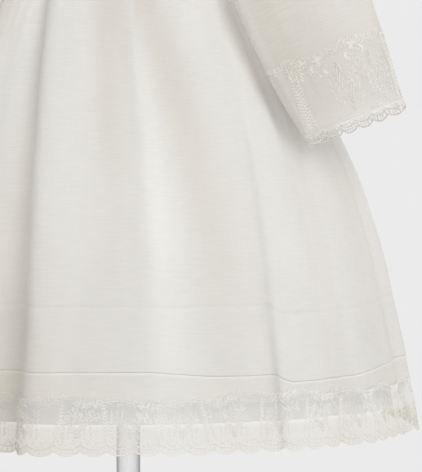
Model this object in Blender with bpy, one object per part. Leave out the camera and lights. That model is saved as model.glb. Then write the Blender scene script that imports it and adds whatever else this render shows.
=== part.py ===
"""A child's ivory dress with long sleeves, lace cuffs and a lace hem, on a limbless dress form.

The dress front faces -Y and +Z is up. The origin is the middle of the stand's underside.
Sizes are in millimetres and become metres as each mesh is made. Heights called above_hem
are measured from the lower edge of the hem lace. A turn is an angle in degrees round the
body, 0 at the centre front, 90 at the wearer's left side seam and 180 at the centre back.
"""

from collections import namedtuple
from math import cos, pi, radians, sin

import bpy
import numpy as np

MM = 0.001

# Driving dimensions.
HEM_HEIGHT = 300.0
SEAM = 478.0
SHOULDER_TIP = 660.0
NECK_POINT = 690.0
UNDERARM = 528.0
TUCK_STITCH = 135.0
TUCK_FOLD = 76.0
LACE_TOP = 46.0
CLOTH = 1.2
LACE = 1.0
GAP = 0.3

# The skirt.
SKIRT_DEPTH_SHARE = 0.84
BAND_INSET = 2.4
SIDE_SEAM_HALF_GAP = 0.1
GATHERS = 36
GATHER_RISE = 1.6
GATHER_FADE = 45.0
FOLD_START = 28.0

SkirtRow = namedtuple("SkirtRow", "above_hem half_width")
SKIRT_OUTLINE = [
    SkirtRow(0, 290),
    SkirtRow(30, 285),
    SkirtRow(75, 276.5),
    SkirtRow(134, 263),
    SkirtRow(167, 256),
    SkirtRow(211, 243),
    SkirtRow(252, 229),
    SkirtRow(292, 210.5),
    SkirtRow(352, 181),
    SkirtRow(390, 160),
    SkirtRow(427, 139),
    SkirtRow(450, 124.5),
    SkirtRow(478, 112),
]

# A fold is a crest that leans over the hollow on its -turn side, or its +turn side where the
# width is negative. lap is how far it leans, as a share of the width. Turns and sizes are
# given at the waist seam and at the hem.
Fold = namedtuple("Fold", "turn_high turn_low rise_high rise_low width_high width_low lap")
FOLDS = [
    Fold(-150, -148, 9, 13, 9, 17, 0.45),
    Fold(-118, -120, 9, 14, -9, -17, 0.45),
    Fold(-80, -76, 6, 8, 8, 17, 0.0),
    Fold(-60, -50, 8, 12, 9, 17, 0.35),
    Fold(-37.5, -20.4, 13, 21, 10, 18, 0.3),
    Fold(2.2, 4.0, 6, 0, 8, 16, 0.35),
    Fold(39.3, 30, 1, 8, 8, 12, 0.5),
    Fold(46, 49, 3, 8, 9, 17, 0.1),
    Fold(82, 78, 5, 7, 8, 16, 0.0),
    Fold(118, 112, 9, 15, 9, 17, 0.45),
    Fold(146, 148, 9, 13, -9, -17, 0.45),
    Fold(178, 177, 10, 8, 9, 16, 0.35),
]
FOLD_RUN = 3.0

# Soft hollows between the folds, which fade towards the hem.
Hollow = namedtuple("Hollow", "turn_high turn_low depth_high depth_low width")
HOLLOWS = [
    Hollow(-10, -3, 6, 0, 7),
    Hollow(0, 20, 9, 1, 8),
    Hollow(62, 66, 5, 4, 12),
    Hollow(-96, -97, 6, 5, 13),
    Hollow(-168, -165, 6, 3, 11),
    Hollow(131, 130, 5, 4, 11),
    Hollow(97, 95, 4, 4, 10),
]

# The lining hangs inside the skirt and follows its folds gently.
LiningRow = namedtuple("LiningRow", "above_hem side_inset front_inset")
LINING = [
    LiningRow(474, 4.4, 4.4),
    LiningRow(455, 9, 10),
    LiningRow(420, 13, 16),
    LiningRow(360, 14, 18),
    LiningRow(270, 14, 18),
    LiningRow(150, 12, 17),
    LiningRow(27, 11, 15),
]
LINING_FOLD_SHARE = 0.65

# The hem lace.
HEM_SCALLOPS = 35
SCALLOP_DEPTH = 4.2
SCALLOP_POINT = 1.3
LACE_GAP_TOP = 13.6
LACE_GAP_FOOT = 8.6
LACE_GAP_SHARE = 0.46

# The bodice, as level sections of the cloth.
BodiceRow = namedtuple("BodiceRow", "above_hem half_width half_depth")
BODICE_OUTLINE = [
    BodiceRow(478, 112, 94),
    BodiceRow(503, 112.5, 94.5),
    BodiceRow(530, 113, 94),
    BodiceRow(560, 113, 90),
    BodiceRow(590, 115, 84),
    BodiceRow(615, 118, 77),
    BodiceRow(635, 120, 69),
    BodiceRow(650, 121, 61),
    BodiceRow(660, 118.5, 56),
    BodiceRow(668, 104, 52),
    BodiceRow(675, 86, 49),
    BodiceRow(682, 67, 46),
    BodiceRow(690, 49, 44),
]
NECK_DROP_FRONT = 46.0
NECK_DROP_BACK = 14.0
NECK_SPREAD = 28.0
NECK_ROUNDING = 1.9
ARMHOLE_HALF_TURN = 33.0
SHOULDER_SEAM_HALF_GAP = 0.22
BACK_LAP = 8.0
BACK_LAP_LIFT = 1.0
BACK_LAP_BLEND = 22.0
BINDING_HEIGHT = 7.0
BINDING_THICKNESS = 2.2
BINDING_LIFT = 1.6
BINDING_TAPER = 0.972
BINDING_BACK_HALF_GAP = 0.6
BUTTONS_ABOVE_HEM = (520.0, 580.0, 640.0)
BUTTON_RADIUS = 5.5
BUTTON_THICKNESS = 2.4
BUTTON_RIM_SHARE = 0.7
BUTTON_FACE_SHARE = 0.86
BUTTON_CLEARANCE = 0.7
BUTTON_SIDES = 16

# The wearer's left sleeve: both edges of each flattened section, and half its thickness.
SleeveRow = namedtuple("SleeveRow", "inner outer half_thickness")
SLEEVE_SECTIONS = [
    SleeveRow((116.5, -1, 531), (135, 0, 660), 46),
    SleeveRow((117.5, -8, 525), (155, 0, 646), 46),
    SleeveRow((116, -30, 514), (178, -6, 618), 41),
    SleeveRow((109, -61, 494), (197, -16, 576), 33),
    SleeveRow((99.5, -94, 462), (211, -31, 530), 25),
    SleeveRow((101.5, -116, 424), (223.8, -51, 475), 18),
    SleeveRow((138.7, -134, 341), (248.6, -80, 384), 16),
    SleeveRow((173.5, -138, 282.5), (269, -92, 316), 15),
]
ARMHOLE_STEP = 1.3
RIGHT_SLEEVE_OUT = 34.0
RIGHT_SLEEVE_BEND = 520.0
RIGHT_SLEEVE_RUN = 80.0
SLEEVE_SEAM_HALF_ANGLE = 0.8
SLEEVE_END = 20.0
CUFF_LACE_HEIGHT = 84.0
CUFF_LACE_LIFT = 2.5
CUFF_SCALLOPS = 7
CUFF_SEAM_HALF_ANGLE = 0.7
CUFF_GAP_TOP = 12.6
CUFF_GAP_FOOT = 8.0

# The dress form, as level sections, and its stand.
FormRow = namedtuple("FormRow", "above_hem half_width half_depth")
FORM_OUTLINE = [
    FormRow(238, 44, 38),
    FormRow(242, 72, 60),
    FormRow(252, 89, 74),
    FormRow(272, 98, 81),
    FormRow(305, 100, 83),
    FormRow(355, 96, 80),
    FormRow(410, 92, 76),
    FormRow(455, 95, 79),
    FormRow(490, 99, 83),
    FormRow(530, 103, 86),
    FormRow(560, 105, 83),
    FormRow(590, 108.5, 78),
    FormRow(615, 112, 71),
    FormRow(635, 115, 63.5),
    FormRow(650, 117, 56.5),
    FormRow(657, 114, 52.5),
    FormRow(664, 99, 48.5),
    FormRow(671, 80, 45),
    FormRow(678, 61, 42),
    FormRow(685, 46, 40),
    FormRow(695, 41.5, 39),
    FormRow(715, 40, 38.5),
    FormRow(748, 40, 38.5),
]
CAP_HEIGHT = 9.0
CAP_OVERHANG = 1.5
CAP_FOOT_BEVEL = 1.5
CAP_TOP_BEVEL = 3.0
POLE_RADIUS = 12.0
POLE_BEVEL = 1.0
BASE_RADIUS = 150.0
BASE_THICKNESS = 9.0
BASE_EDGE = 2.5
BOSS_RADIUS = 24.0
BOSS_HEIGHT = 22.0
BOSS_BEVEL = 2.0
SOCKET_FLOOR = 4.0

# How finely the solids are divided.
SKIRT_ROWS = (SEAM - GAP, 462, 438, 400, 345, 270, 190, TUCK_STITCH, TUCK_FOLD)
BAND_ROWS = (TUCK_STITCH - 8, TUCK_FOLD, LACE_TOP + GAP)
FOLD_COLUMNS = (-4.6, -2.2, 0.0, 2.0, 4.4)
WIDEST_COLUMN = 7.0
LINING_FOLD_COLUMNS = (-3.2, 0.4, 4.0)
WIDEST_LINING_COLUMN = 12.0
NARROWEST_COLUMN = 1.2
TURN_STEP = 0.25
HEIGHT_STEP = 3.0
AROUND_STEP = 2.0
FINE_POINTS = 2400
BODICE_COLUMNS = 14
BODICE_SIDE_ROWS = 2
ARMHOLE_ROWS = 8
SHOULDER_ROWS = 3
SLEEVE_HALF_COLUMNS = 10
SLEEVE_STATIONS = (0.02, 0.5, 1, 2, 3, 4, 4.6, 5.3, 6)
FORM_COLUMNS = 24
ROUND_COLUMNS = 40

MATERIALS = {
    "voile": ((0.80, 0.76, 0.69), 0.85, 0.0),
    "lace": ((0.82, 0.79, 0.72), 0.8, 0.0),
    "lining": ((0.78, 0.74, 0.66), 0.7, 0.0),
    "form_cover": ((0.82, 0.80, 0.77), 0.75, 0.0),
    "cap": ((0.75, 0.74, 0.72), 0.35, 0.0),
    "clear_acrylic": ((0.86, 0.88, 0.90), 0.05, 0.0),
    "base": ((0.88, 0.88, 0.88), 0.3, 0.0),
    "shell_button": ((0.86, 0.83, 0.78), 0.3, 0.0),
}


def clear_scene():
    """Removes whatever the scene holds."""
    for thing in list(bpy.data.objects):
        bpy.data.objects.remove(thing)


def material(name):
    """The named material, made on its first use."""
    found = bpy.data.materials.get(name)
    if found:
        return found
    colour, roughness, metallic = MATERIALS[name]
    made = bpy.data.materials.new(name)
    made.use_nodes = True
    shader = made.node_tree.nodes["Principled BSDF"]
    shader.inputs["Base Color"].default_value = (*colour, 1.0)
    shader.inputs["Roughness"].default_value = roughness
    shader.inputs["Metallic"].default_value = metallic
    return made


def smooth(xs, ys, at):
    """A smooth curve through the points (xs, ys), with xs rising, read at one or more places."""
    xs, ys, at = (np.asarray(v, float) for v in (xs, ys, at))
    slopes = np.gradient(ys, xs, axis=0)
    i = np.clip(np.searchsorted(xs, at, side="right") - 1, 0, len(xs) - 2)
    span = xs[i + 1] - xs[i]
    t = np.clip((at - xs[i]) / span, 0.0, 1.0)
    extra = (1,) * (ys.ndim - 1)
    span, t = (v.reshape(v.shape + extra) for v in (span, t))
    start, end = ys[i], ys[i + 1]
    return (
        start * (1 + 2 * t) * (1 - t) ** 2
        + slopes[i] * span * t * (1 - t) ** 2
        + end * t * t * (3 - 2 * t)
        + slopes[i + 1] * span * t * t * (t - 1)
    )


def column(rows, name, at):
    """A column of a table of level sections, read smoothly at a height above the hem."""
    heights = [row.above_hem for row in rows]
    return smooth(heights, [getattr(row, name) for row in rows], at)


def wrapped(turns):
    """Turns brought into -180 to 180."""
    return (np.asarray(turns, float) + 180.0) % 360.0 - 180.0


def drop_share(above_hem):
    """How far down the skirt a height is: 0 at the waist seam, 1 at the hem."""
    return (SEAM - above_hem) / SEAM


def fold_shift(turns, above_hem):
    """How many degrees the cloth lies from its place at the hem, as the folds draw together."""
    share = drop_share(above_hem)
    folds = sorted(FOLDS, key=lambda fold: fold.turn_low)
    places = [fold.turn_low for fold in folds]
    shifts = [(fold.turn_high - fold.turn_low) * (1 - share) ** FOLD_RUN for fold in folds]
    places = [places[-1] - 360, *places, places[0] + 360]
    shifts = [shifts[-1], *shifts, shifts[0]]
    return np.interp(wrapped(turns), places, shifts)


def skirt_section(turns, above_hem, insets=(0.0, 0.0), fold_share=1.0):
    """Points of the skirt at one height. The turns are those of the same threads at the hem.

    insets are how far inside the outer skirt the cloth hangs, at the sides and at the front.
    """
    share = drop_share(above_hem)
    outline = float(column(SKIRT_OUTLINE, "half_width", above_hem))
    half_width = outline - insets[0]
    half_depth = outline * SKIRT_DEPTH_SHARE - insets[1]
    radius = (half_width + half_depth) / 2
    started = 1 - np.exp(-(((SEAM - above_hem) / FOLD_START) ** 2))
    angle = np.radians(np.asarray(turns, float) + fold_shift(turns, above_hem))
    out = np.zeros(len(angle))
    along = np.zeros(len(angle))
    for fold in FOLDS:
        rise = (fold.rise_high + (fold.rise_low - fold.rise_high) * share) * started * fold_share
        width = fold.width_high + (fold.width_low - fold.width_high) * share
        away = np.radians(wrapped(np.asarray(turns) - fold.turn_low)) * radius / width
        out += 0.5 * rise * np.exp(-(((away - 0.9) / 1.5) ** 2))
        out -= 0.7 * rise * np.exp(-(((away + 0.9) / 1.0) ** 2))
        lean = fold.lap * width * fold_share * started * min(1.0, rise / 8.0)
        along -= lean * away * np.exp(0.5 - 0.5 * away * away)
    for hollow in HOLLOWS:
        depth = hollow.depth_high + (hollow.depth_low - hollow.depth_high) * share
        middle = hollow.turn_low + (hollow.turn_high - hollow.turn_low) * (1 - share) ** FOLD_RUN
        away = wrapped(np.degrees(angle) - middle) / hollow.width
        out -= depth * started * fold_share * np.exp(-away * away)
    fade = np.exp(-(SEAM - above_hem) / GATHER_FADE)
    out += GATHER_RISE * fade * fold_share * np.sin(GATHERS * angle)
    sines, cosines = np.sin(angle), np.cos(angle)
    outward = np.stack([sines / half_width, -cosines / half_depth], axis=1)
    outward /= np.linalg.norm(outward, axis=1)[:, None]
    onward = np.stack([-outward[:, 1], outward[:, 0]], axis=1)
    level = np.stack([half_width * sines, -half_depth * cosines], axis=1)
    level += outward * out[:, None] + onward * along[:, None]
    return np.column_stack([level, np.full(len(angle), HEM_HEIGHT + above_hem)])


def skirt_grid(turns, rows, insets=(), fold_share=1.0):
    """The skirt's points and outward normals, one section for each height in rows."""
    grid, facing = [], []
    for above_hem, inset in zip(rows, insets or [(0.0, 0.0)] * len(rows)):
        grid.append(skirt_section(turns, above_hem, inset, fold_share))
        across = skirt_section(turns + TURN_STEP, above_hem, inset, fold_share)
        across -= skirt_section(turns - TURN_STEP, above_hem, inset, fold_share)
        down = skirt_section(turns, above_hem - HEIGHT_STEP, inset, fold_share)
        down -= skirt_section(turns, above_hem + HEIGHT_STEP, inset, fold_share)
        out = np.cross(down, across)
        facing.append(out / np.linalg.norm(out, axis=1)[:, None])
    return np.array(grid), np.array(facing)


def panel_turns(first, last, fold_columns=FOLD_COLUMNS, widest=WIDEST_COLUMN):
    """Turns across one skirt panel, closer together where it folds."""
    turns = {first, last}
    for fold in FOLDS:
        for offset in fold_columns:
            for turn in (fold.turn_low + offset, fold.turn_low + offset + 360):
                if first + NARROWEST_COLUMN < turn < last - NARROWEST_COLUMN:
                    turns.add(turn)
    turns = sorted(turns)
    filled = [turns[0]]
    for turn in turns[1:]:
        parts = int(np.ceil((turn - filled[-1]) / widest))
        filled.extend(np.linspace(filled[-1], turn, parts + 1)[1:])
    return np.array(filled)


def normals(grid, round_it):
    """Unit normals of a grid of points, rows by columns."""
    if round_it:
        across = np.roll(grid, -1, axis=1) - np.roll(grid, 1, axis=1)
    else:
        across = np.gradient(grid, axis=1)
    found = np.cross(np.gradient(grid, axis=0), across)
    return found / np.linalg.norm(found, axis=2)[:, :, None]


def mesh_object(name, points, faces, material_name, is_smooth=True):
    """Makes a named object from points in millimetres and faces."""
    mesh = bpy.data.meshes.new(name)
    mesh.from_pydata((np.asarray(points) * MM).tolist(), [], faces)
    mesh.materials.append(material(material_name))
    if is_smooth:
        mesh.shade_smooth()
        mesh.set_sharp_from_angle(angle=radians(40))
    made = bpy.data.objects.new(name, mesh)
    bpy.context.scene.collection.objects.link(made)
    return made


def wall(name, grid, thickness, material_name, lift=0.0, round_it=False, gaps=(), out=None):
    """A closed wall of cloth round a grid of points whose rows run down and columns run on.

    lift moves the wall outwards from the grid. gaps are the (row, column) cells cut through.
    out holds the grid's normals, where they are known already.
    """
    rows, columns = grid.shape[:2]
    out = normals(grid, round_it) if out is None else out
    outer = grid + out * (lift + thickness / 2)
    inner = grid + out * (lift - thickness / 2)
    points = np.concatenate([outer.reshape(-1, 3), inner.reshape(-1, 3)])
    behind = rows * columns
    across = columns if round_it else columns - 1
    kept = {(r, c) for r in range(rows - 1) for c in range(across)} - set(gaps)

    def corner(r, c):
        return r * columns + c % columns

    def neighbour(r, c):
        return (r, c % across) if round_it else (r, c)

    faces = []
    for r, c in sorted(kept):
        a, b = corner(r, c), corner(r, c + 1)
        d, e = corner(r + 1, c), corner(r + 1, c + 1)
        faces.append((a, d, e, b))
        faces.append((a + behind, b + behind, e + behind, d + behind))
        sides = (
            (neighbour(r - 1, c), a, b),
            (neighbour(r + 1, c), e, d),
            (neighbour(r, c - 1), d, a),
            (neighbour(r, c + 1), b, e),
        )
        for beside, start, end in sides:
            if beside not in kept:
                faces.append((start, end, end + behind, start + behind))
    return mesh_object(name, *only_used(points, faces), material_name)


def only_used(points, faces):
    """Drops the points that no face uses."""
    used = sorted({i for face in faces for i in face})
    place = {old: new for new, old in enumerate(used)}
    return points[used], [tuple(place[i] for i in face) for face in faces]


def lathe(name, profile, material_name, sides=ROUND_COLUMNS):
    """A turned solid. The profile's (radius, height) points run from its foot to its top."""
    points, faces = [], []
    for radius, height in profile:
        for k in range(sides):
            angle = 2 * pi * k / sides
            points.append((radius * sin(angle), -radius * cos(angle), height))
    for r in range(len(profile) - 1):
        for k in range(sides):
            a, b = r * sides + k, r * sides + (k + 1) % sides
            faces.append((a, b, b + sides, a + sides))
    faces.append(tuple(range(sides - 1, -1, -1)))
    faces.append(tuple(range(len(points) - sides, len(points))))
    return mesh_object(name, points, faces, material_name)


def skirt_halves():
    """The turns of the front and the back at their side seams."""
    edge = 90 - SIDE_SEAM_HALF_GAP
    return (("front", -edge, edge), ("back", 180 - edge, 180 + edge))


def make_skirt():
    """The outer skirt down to the fold of its tuck, and the band of cloth below the tuck."""
    for side, first, last in skirt_halves():
        turns = panel_turns(first, last)
        grid, out = skirt_grid(turns, SKIRT_ROWS)
        wall(f"skirt_{side}", grid, CLOTH, "voile", out=out)
        grid, out = skirt_grid(turns, BAND_ROWS)
        wall(f"hem_band_{side}", grid, CLOTH, "voile", lift=-BAND_INSET, out=out)


def lengths_along(line):
    """How far along a line of points each one lies."""
    steps = np.linalg.norm(np.diff(line, axis=0), axis=1)
    return np.concatenate([[0], np.cumsum(steps)])


def scallop_places(length, scallops):
    """Places along a lace edge, three to a scallop: its start and both sides of its gap."""
    pitch = length / scallops
    bar = pitch * (1 - LACE_GAP_SHARE) / 2
    places = []
    for i in range(scallops):
        places.extend([i * pitch, i * pitch + bar, (i + 1) * pitch - bar])
    places.append(length)
    return np.array(places), pitch


def scallop_edge(places, pitch):
    """How far the lace's edge draws up at each place, most between two scallops."""
    return SCALLOP_DEPTH * (1 - np.abs(np.sin(pi * places / pitch))) ** SCALLOP_POINT


def gap_cells(row, columns):
    """The middle cell of each scallop in a row."""
    return [(row, c) for c in range(1, columns, 3)]


def make_hem_lace():
    """The lace sewn below the hem band, with its scalloped edge and cut gaps."""
    for side, first, last in skirt_halves():
        fine = np.linspace(first, last, FINE_POINTS)
        lengths = lengths_along(skirt_section(fine, LACE_GAP_TOP))
        places, pitch = scallop_places(lengths[-1], HEM_SCALLOPS)
        turns = np.interp(places, lengths, fine)
        grid, out = skirt_grid(turns, (LACE_TOP, LACE_GAP_TOP, LACE_GAP_FOOT, 0.0))
        grid[-1, :, 2] += scallop_edge(places, pitch)
        gaps = gap_cells(1, len(turns))
        wall(f"hem_lace_{side}", grid, LACE, "lace", lift=-BAND_INSET, gaps=gaps, out=out)


def make_lining():
    """The plain lining skirt, whose hem shows through the lace."""
    rows = [row.above_hem for row in LINING]
    insets = [(row.side_inset, row.front_inset) for row in LINING]
    for side, first, last in skirt_halves():
        turns = panel_turns(first, last, LINING_FOLD_COLUMNS, WIDEST_LINING_COLUMN)
        grid, out = skirt_grid(turns, rows, insets, LINING_FOLD_SHARE)
        wall(f"lining_{side}", grid, LACE, "lining", out=out)


def neckline(turn):
    """Height of the neckline above the hem: lowest at the centre front, round to the shoulders."""
    away = abs(float(wrapped(turn)))
    drop = NECK_DROP_FRONT if away < 90 else NECK_DROP_BACK
    away = min(away, 180 - away)
    return NECK_POINT - drop * np.exp(-((away / NECK_SPREAD) ** NECK_ROUNDING))


def bodice_point(turn, share):
    """A point of the bodice. share runs from 0 at the waist seam to 1 at the neck or shoulder."""
    above_hem = SEAM + (neckline(turn) - SEAM) * share
    half_width = float(column(BODICE_OUTLINE, "half_width", above_hem))
    half_depth = float(column(BODICE_OUTLINE, "half_depth", above_hem))
    angle = radians(turn)
    return np.array([half_width * sin(angle), -half_depth * cos(angle), HEM_HEIGHT + above_hem])


def share_of(above_hem):
    """The share of a height on the side seam and shoulder."""
    return (above_hem - SEAM) / (NECK_POINT - SEAM)


def armhole(around):
    """(turn, share) on the left armhole: around is 0 under the arm, 90 in front, 180 on top."""
    middle = (share_of(UNDERARM) + share_of(SHOULDER_TIP)) / 2
    half = (share_of(SHOULDER_TIP) - share_of(UNDERARM)) / 2
    angle = radians(around)
    return 90 - ARMHOLE_HALF_TURN * sin(angle), middle - half * cos(angle)


def bodice_edges():
    """(turn from the centre, share) down a bodice panel's side: shoulder, armhole, side seam."""
    tip, under = share_of(SHOULDER_TIP), share_of(UNDERARM)
    rows = [(90 - SHOULDER_SEAM_HALF_GAP, s) for s in np.linspace(1, tip, SHOULDER_ROWS + 1)]
    for around in np.linspace(180, 0, ARMHOLE_ROWS + 1)[1:-1]:
        rows.append(armhole(around))
    rows += [
        (90 - SHOULDER_SEAM_HALF_GAP, s)
        for s in np.linspace(under, 0, BODICE_SIDE_ROWS + 1)
    ]
    return [(turn, max(share, GAP / (NECK_POINT - SEAM))) for turn, share in rows]


def front_turns(edge):
    """Turns across the bodice front at one height, from one side edge to the other."""
    return list(np.linspace(-edge, edge, BODICE_COLUMNS + 1))


def back_turns(edge, share):
    """Turns across the left back, from its side edge to past the centre, where it laps."""
    above_hem = SEAM + (neckline(180) - SEAM) * share
    half_width = float(column(BODICE_OUTLINE, "half_width", above_hem))
    lap = np.degrees(np.arcsin(BACK_LAP / half_width))
    blend = np.degrees(np.arcsin(BACK_LAP_BLEND / half_width))
    return [*np.linspace(180 - edge, 180 - blend, BODICE_COLUMNS // 2), 180 - lap, 180 + lap]


def make_bodice():
    """The bodice front, and the two backs that lap at the centre back."""
    edges = bodice_edges()
    front = [[bodice_point(turn, share) for turn in front_turns(edge)] for edge, share in edges]
    wall("bodice_front", np.array(front), CLOTH, "voile")
    for side, sign in (("left", 1), ("right", -1)):
        grid = []
        for edge, share in edges:
            row = [bodice_point(turn * sign, share) for turn in back_turns(edge, share)]
            row[-1][1] += BACK_LAP_LIFT * sign
            row[-2][1] += BACK_LAP_LIFT * sign
            grid.append(row if sign > 0 else row[::-1])
        wall(f"bodice_back_{side}", np.array(grid), CLOTH, "voile")


def make_binding():
    """The bound neck edge, which stands up from the neckline and meets at the centre back."""
    edge = 90 - SHOULDER_SEAM_HALF_GAP
    left = [*back_turns(edge, 1.0)[:-2], 180 - BINDING_BACK_HALF_GAP]
    turns = [*(-turn for turn in reversed(left)), *front_turns(edge), *left]
    foot = np.array([bodice_point(turn, 1.0) for turn in turns])
    foot[:, 2] += BINDING_LIFT
    head = foot + [0, 0, BINDING_HEIGHT]
    head[:, :2] *= BINDING_TAPER
    wall("neck_binding", np.array([head, foot]), BINDING_THICKNESS, "voile")


def make_buttons():
    """The three small buttons down the centre back."""
    for number, above_hem in enumerate(BUTTONS_ABOVE_HEM, 1):
        share = (above_hem - SEAM) / (neckline(180) - SEAM)
        low, high = bodice_point(180, share - 0.02), bodice_point(180, share + 0.02)
        rise = (high - low) / np.linalg.norm(high - low)
        out = np.array([0, rise[2], -rise[1]])
        middle = (low + high) / 2 + out * (BACK_LAP_LIFT + CLOTH / 2 + BUTTON_CLEARANCE)
        points, faces = [], []
        for away, radius in (
            (0, BUTTON_RADIUS),
            (BUTTON_THICKNESS * BUTTON_RIM_SHARE, BUTTON_RADIUS),
            (BUTTON_THICKNESS, BUTTON_RADIUS * BUTTON_FACE_SHARE),
        ):
            for k in range(BUTTON_SIDES):
                angle = 2 * pi * k / BUTTON_SIDES
                across = np.array([-cos(angle), 0, 0]) + rise * sin(angle)
                points.append(middle + out * away + across * radius)
        for r in range(2):
            for k in range(BUTTON_SIDES):
                a, b = r * BUTTON_SIDES + k, r * BUTTON_SIDES + (k + 1) % BUTTON_SIDES
                faces.append((a, b, b + BUTTON_SIDES, a + BUTTON_SIDES))
        faces.append(tuple(range(BUTTON_SIDES - 1, -1, -1)))
        faces.append(tuple(range(2 * BUTTON_SIDES, 3 * BUTTON_SIDES)))
        mesh_object(f"button_{number}", points, faces, "shell_button")


def sleeve_rings(arounds):
    """The left sleeve's rings, from the armhole down, at angles round the sleeve."""
    rings = []
    first = np.array([bodice_point(*armhole(around)) for around in arounds])
    first[:, 0] += ARMHOLE_STEP
    rings.append(first)
    inner = np.array([row.inner for row in SLEEVE_SECTIONS], float)
    outer = np.array([row.outer for row in SLEEVE_SECTIONS], float)
    middles = (inner + outer) / 2
    axes = np.gradient(middles, axis=0)
    angle = np.radians(arounds)[:, None]
    for row, middle, axis in zip(SLEEVE_SECTIONS, middles, axes):
        half = (np.array(row.inner) - np.array(row.outer)) / 2
        front = np.cross(half, axis)
        front *= row.half_thickness / np.linalg.norm(front)
        ring = middle + half * np.cos(angle) + front * np.sin(angle)
        ring[:, 2] += HEM_HEIGHT
        rings.append(ring)
    return np.array(rings)


def sleeve_grid(arounds, stations):
    """The left sleeve's points at stations along it, whole numbers being the rings."""
    rings = sleeve_rings(np.asarray(arounds, float))
    return smooth(np.arange(len(rings)), rings, np.asarray(stations, float))


def sleeve_station(from_edge):
    """The station that lies a distance up the sleeve from the edge of its lace."""
    last = len(SLEEVE_SECTIONS)
    fine = np.linspace(last - 2, last, FINE_POINTS)
    lengths = lengths_along(sleeve_grid([90, 270], fine).mean(axis=1))
    return float(np.interp(lengths[-1] - from_edge, lengths, fine))


def mirrored(grid):
    """A grid for the wearer's right side, made from the left one."""
    flipped = grid[:, ::-1].copy()
    flipped[:, :, 0] *= -1
    return flipped


def right_sleeve(grid):
    """The right sleeve's points from the left one's: below the armhole it hangs further out."""
    flipped = mirrored(grid)
    below = np.maximum(0, HEM_HEIGHT + RIGHT_SLEEVE_BEND - flipped[:, :, 2])
    flipped[:, :, 0] -= RIGHT_SLEEVE_OUT * (1 - np.exp(-((below / RIGHT_SLEEVE_RUN) ** 2)))
    return flipped


def make_sleeves():
    """The front and back halves of both sleeves, open at the armhole and the cuff."""
    stations = [*SLEEVE_STATIONS, 7, sleeve_station(CUFF_LACE_HEIGHT), sleeve_station(SLEEVE_END)]
    stations.sort()
    edge = SLEEVE_SEAM_HALF_ANGLE
    for half, start in (("front", 0), ("back", 180)):
        arounds = np.linspace(start + edge, start + 180 - edge, SLEEVE_HALF_COLUMNS + 1)
        grid = sleeve_grid(arounds, stations)
        across = sleeve_grid(arounds + AROUND_STEP, stations)
        across -= sleeve_grid(arounds - AROUND_STEP, stations)
        out = np.cross(np.gradient(grid, axis=0), across)
        out /= np.linalg.norm(out, axis=2)[:, :, None]
        wall(f"sleeve_left_{half}", grid, CLOTH, "voile", out=out)
        wall(f"sleeve_right_{half}", right_sleeve(grid), CLOTH, "voile", out=mirrored(out))


def cuff_half(first, last):
    """The points of the lace round half a cuff, between two angles round the sleeve."""
    fine = np.linspace(first, last, FINE_POINTS)
    line = sleeve_grid(fine, [len(SLEEVE_SECTIONS) - 0.1])[0]
    lengths = lengths_along(line)
    places, pitch = scallop_places(lengths[-1], CUFF_SCALLOPS)
    arounds = np.interp(places, lengths, fine)
    rise = scallop_edge(places, pitch)
    tops = (CUFF_LACE_HEIGHT, CUFF_GAP_TOP, CUFF_GAP_FOOT)
    rows = [sleeve_grid(arounds, [sleeve_station(top)])[0] for top in tops]
    foot = [sleeve_grid([a], [sleeve_station(r)])[0, 0] for a, r in zip(arounds, rise)]
    return np.array([*rows, foot])


def make_cuff_lace():
    """The lace over each sleeve end, a front and a back half, which reaches past the cloth."""
    edge = CUFF_SEAM_HALF_ANGLE
    front = cuff_half(edge, 180 - edge)
    back = cuff_half(180 + edge, 360 - edge)
    ring = np.concatenate([front, back], axis=1)
    ring += normals(ring, True) * CUFF_LACE_LIFT
    out = normals(ring, True)
    split = front.shape[1]
    for half, columns in (("front", slice(0, split)), ("back", slice(split, None))):
        grid, facing = ring[:, columns], out[:, columns]
        gaps = gap_cells(1, grid.shape[1])
        wall(f"cuff_lace_left_{half}", grid, LACE, "lace", gaps=gaps, out=facing)
        right = right_sleeve(grid)
        wall(f"cuff_lace_right_{half}", right, LACE, "lace", gaps=gaps, out=mirrored(facing))


def make_form():
    """The limbless dress form with its neck cap."""
    points, faces = [], []
    for row in FORM_OUTLINE:
        for k in range(FORM_COLUMNS):
            angle = 2 * pi * k / FORM_COLUMNS
            points.append(
                (
                    row.half_width * sin(angle),
                    -row.half_depth * cos(angle),
                    HEM_HEIGHT + row.above_hem,
                )
            )
    for r in range(len(FORM_OUTLINE) - 1):
        for k in range(FORM_COLUMNS):
            a, b = r * FORM_COLUMNS + k, r * FORM_COLUMNS + (k + 1) % FORM_COLUMNS
            faces.append((a, b, b + FORM_COLUMNS, a + FORM_COLUMNS))
    faces.append(tuple(range(FORM_COLUMNS - 1, -1, -1)))
    faces.append(tuple(range(len(points) - FORM_COLUMNS, len(points))))
    mesh_object("form_torso", points, faces, "form_cover")
    neck = FORM_OUTLINE[-1]
    foot = HEM_HEIGHT + neck.above_hem + GAP
    radius = neck.half_width + CAP_OVERHANG
    cap = [
        (radius - CAP_FOOT_BEVEL, foot),
        (radius, foot + CAP_FOOT_BEVEL),
        (radius, foot + CAP_HEIGHT - CAP_TOP_BEVEL),
        (radius - CAP_TOP_BEVEL, foot + CAP_HEIGHT),
    ]
    lathe("form_neck_cap", cap, "cap", sides=30)


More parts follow.
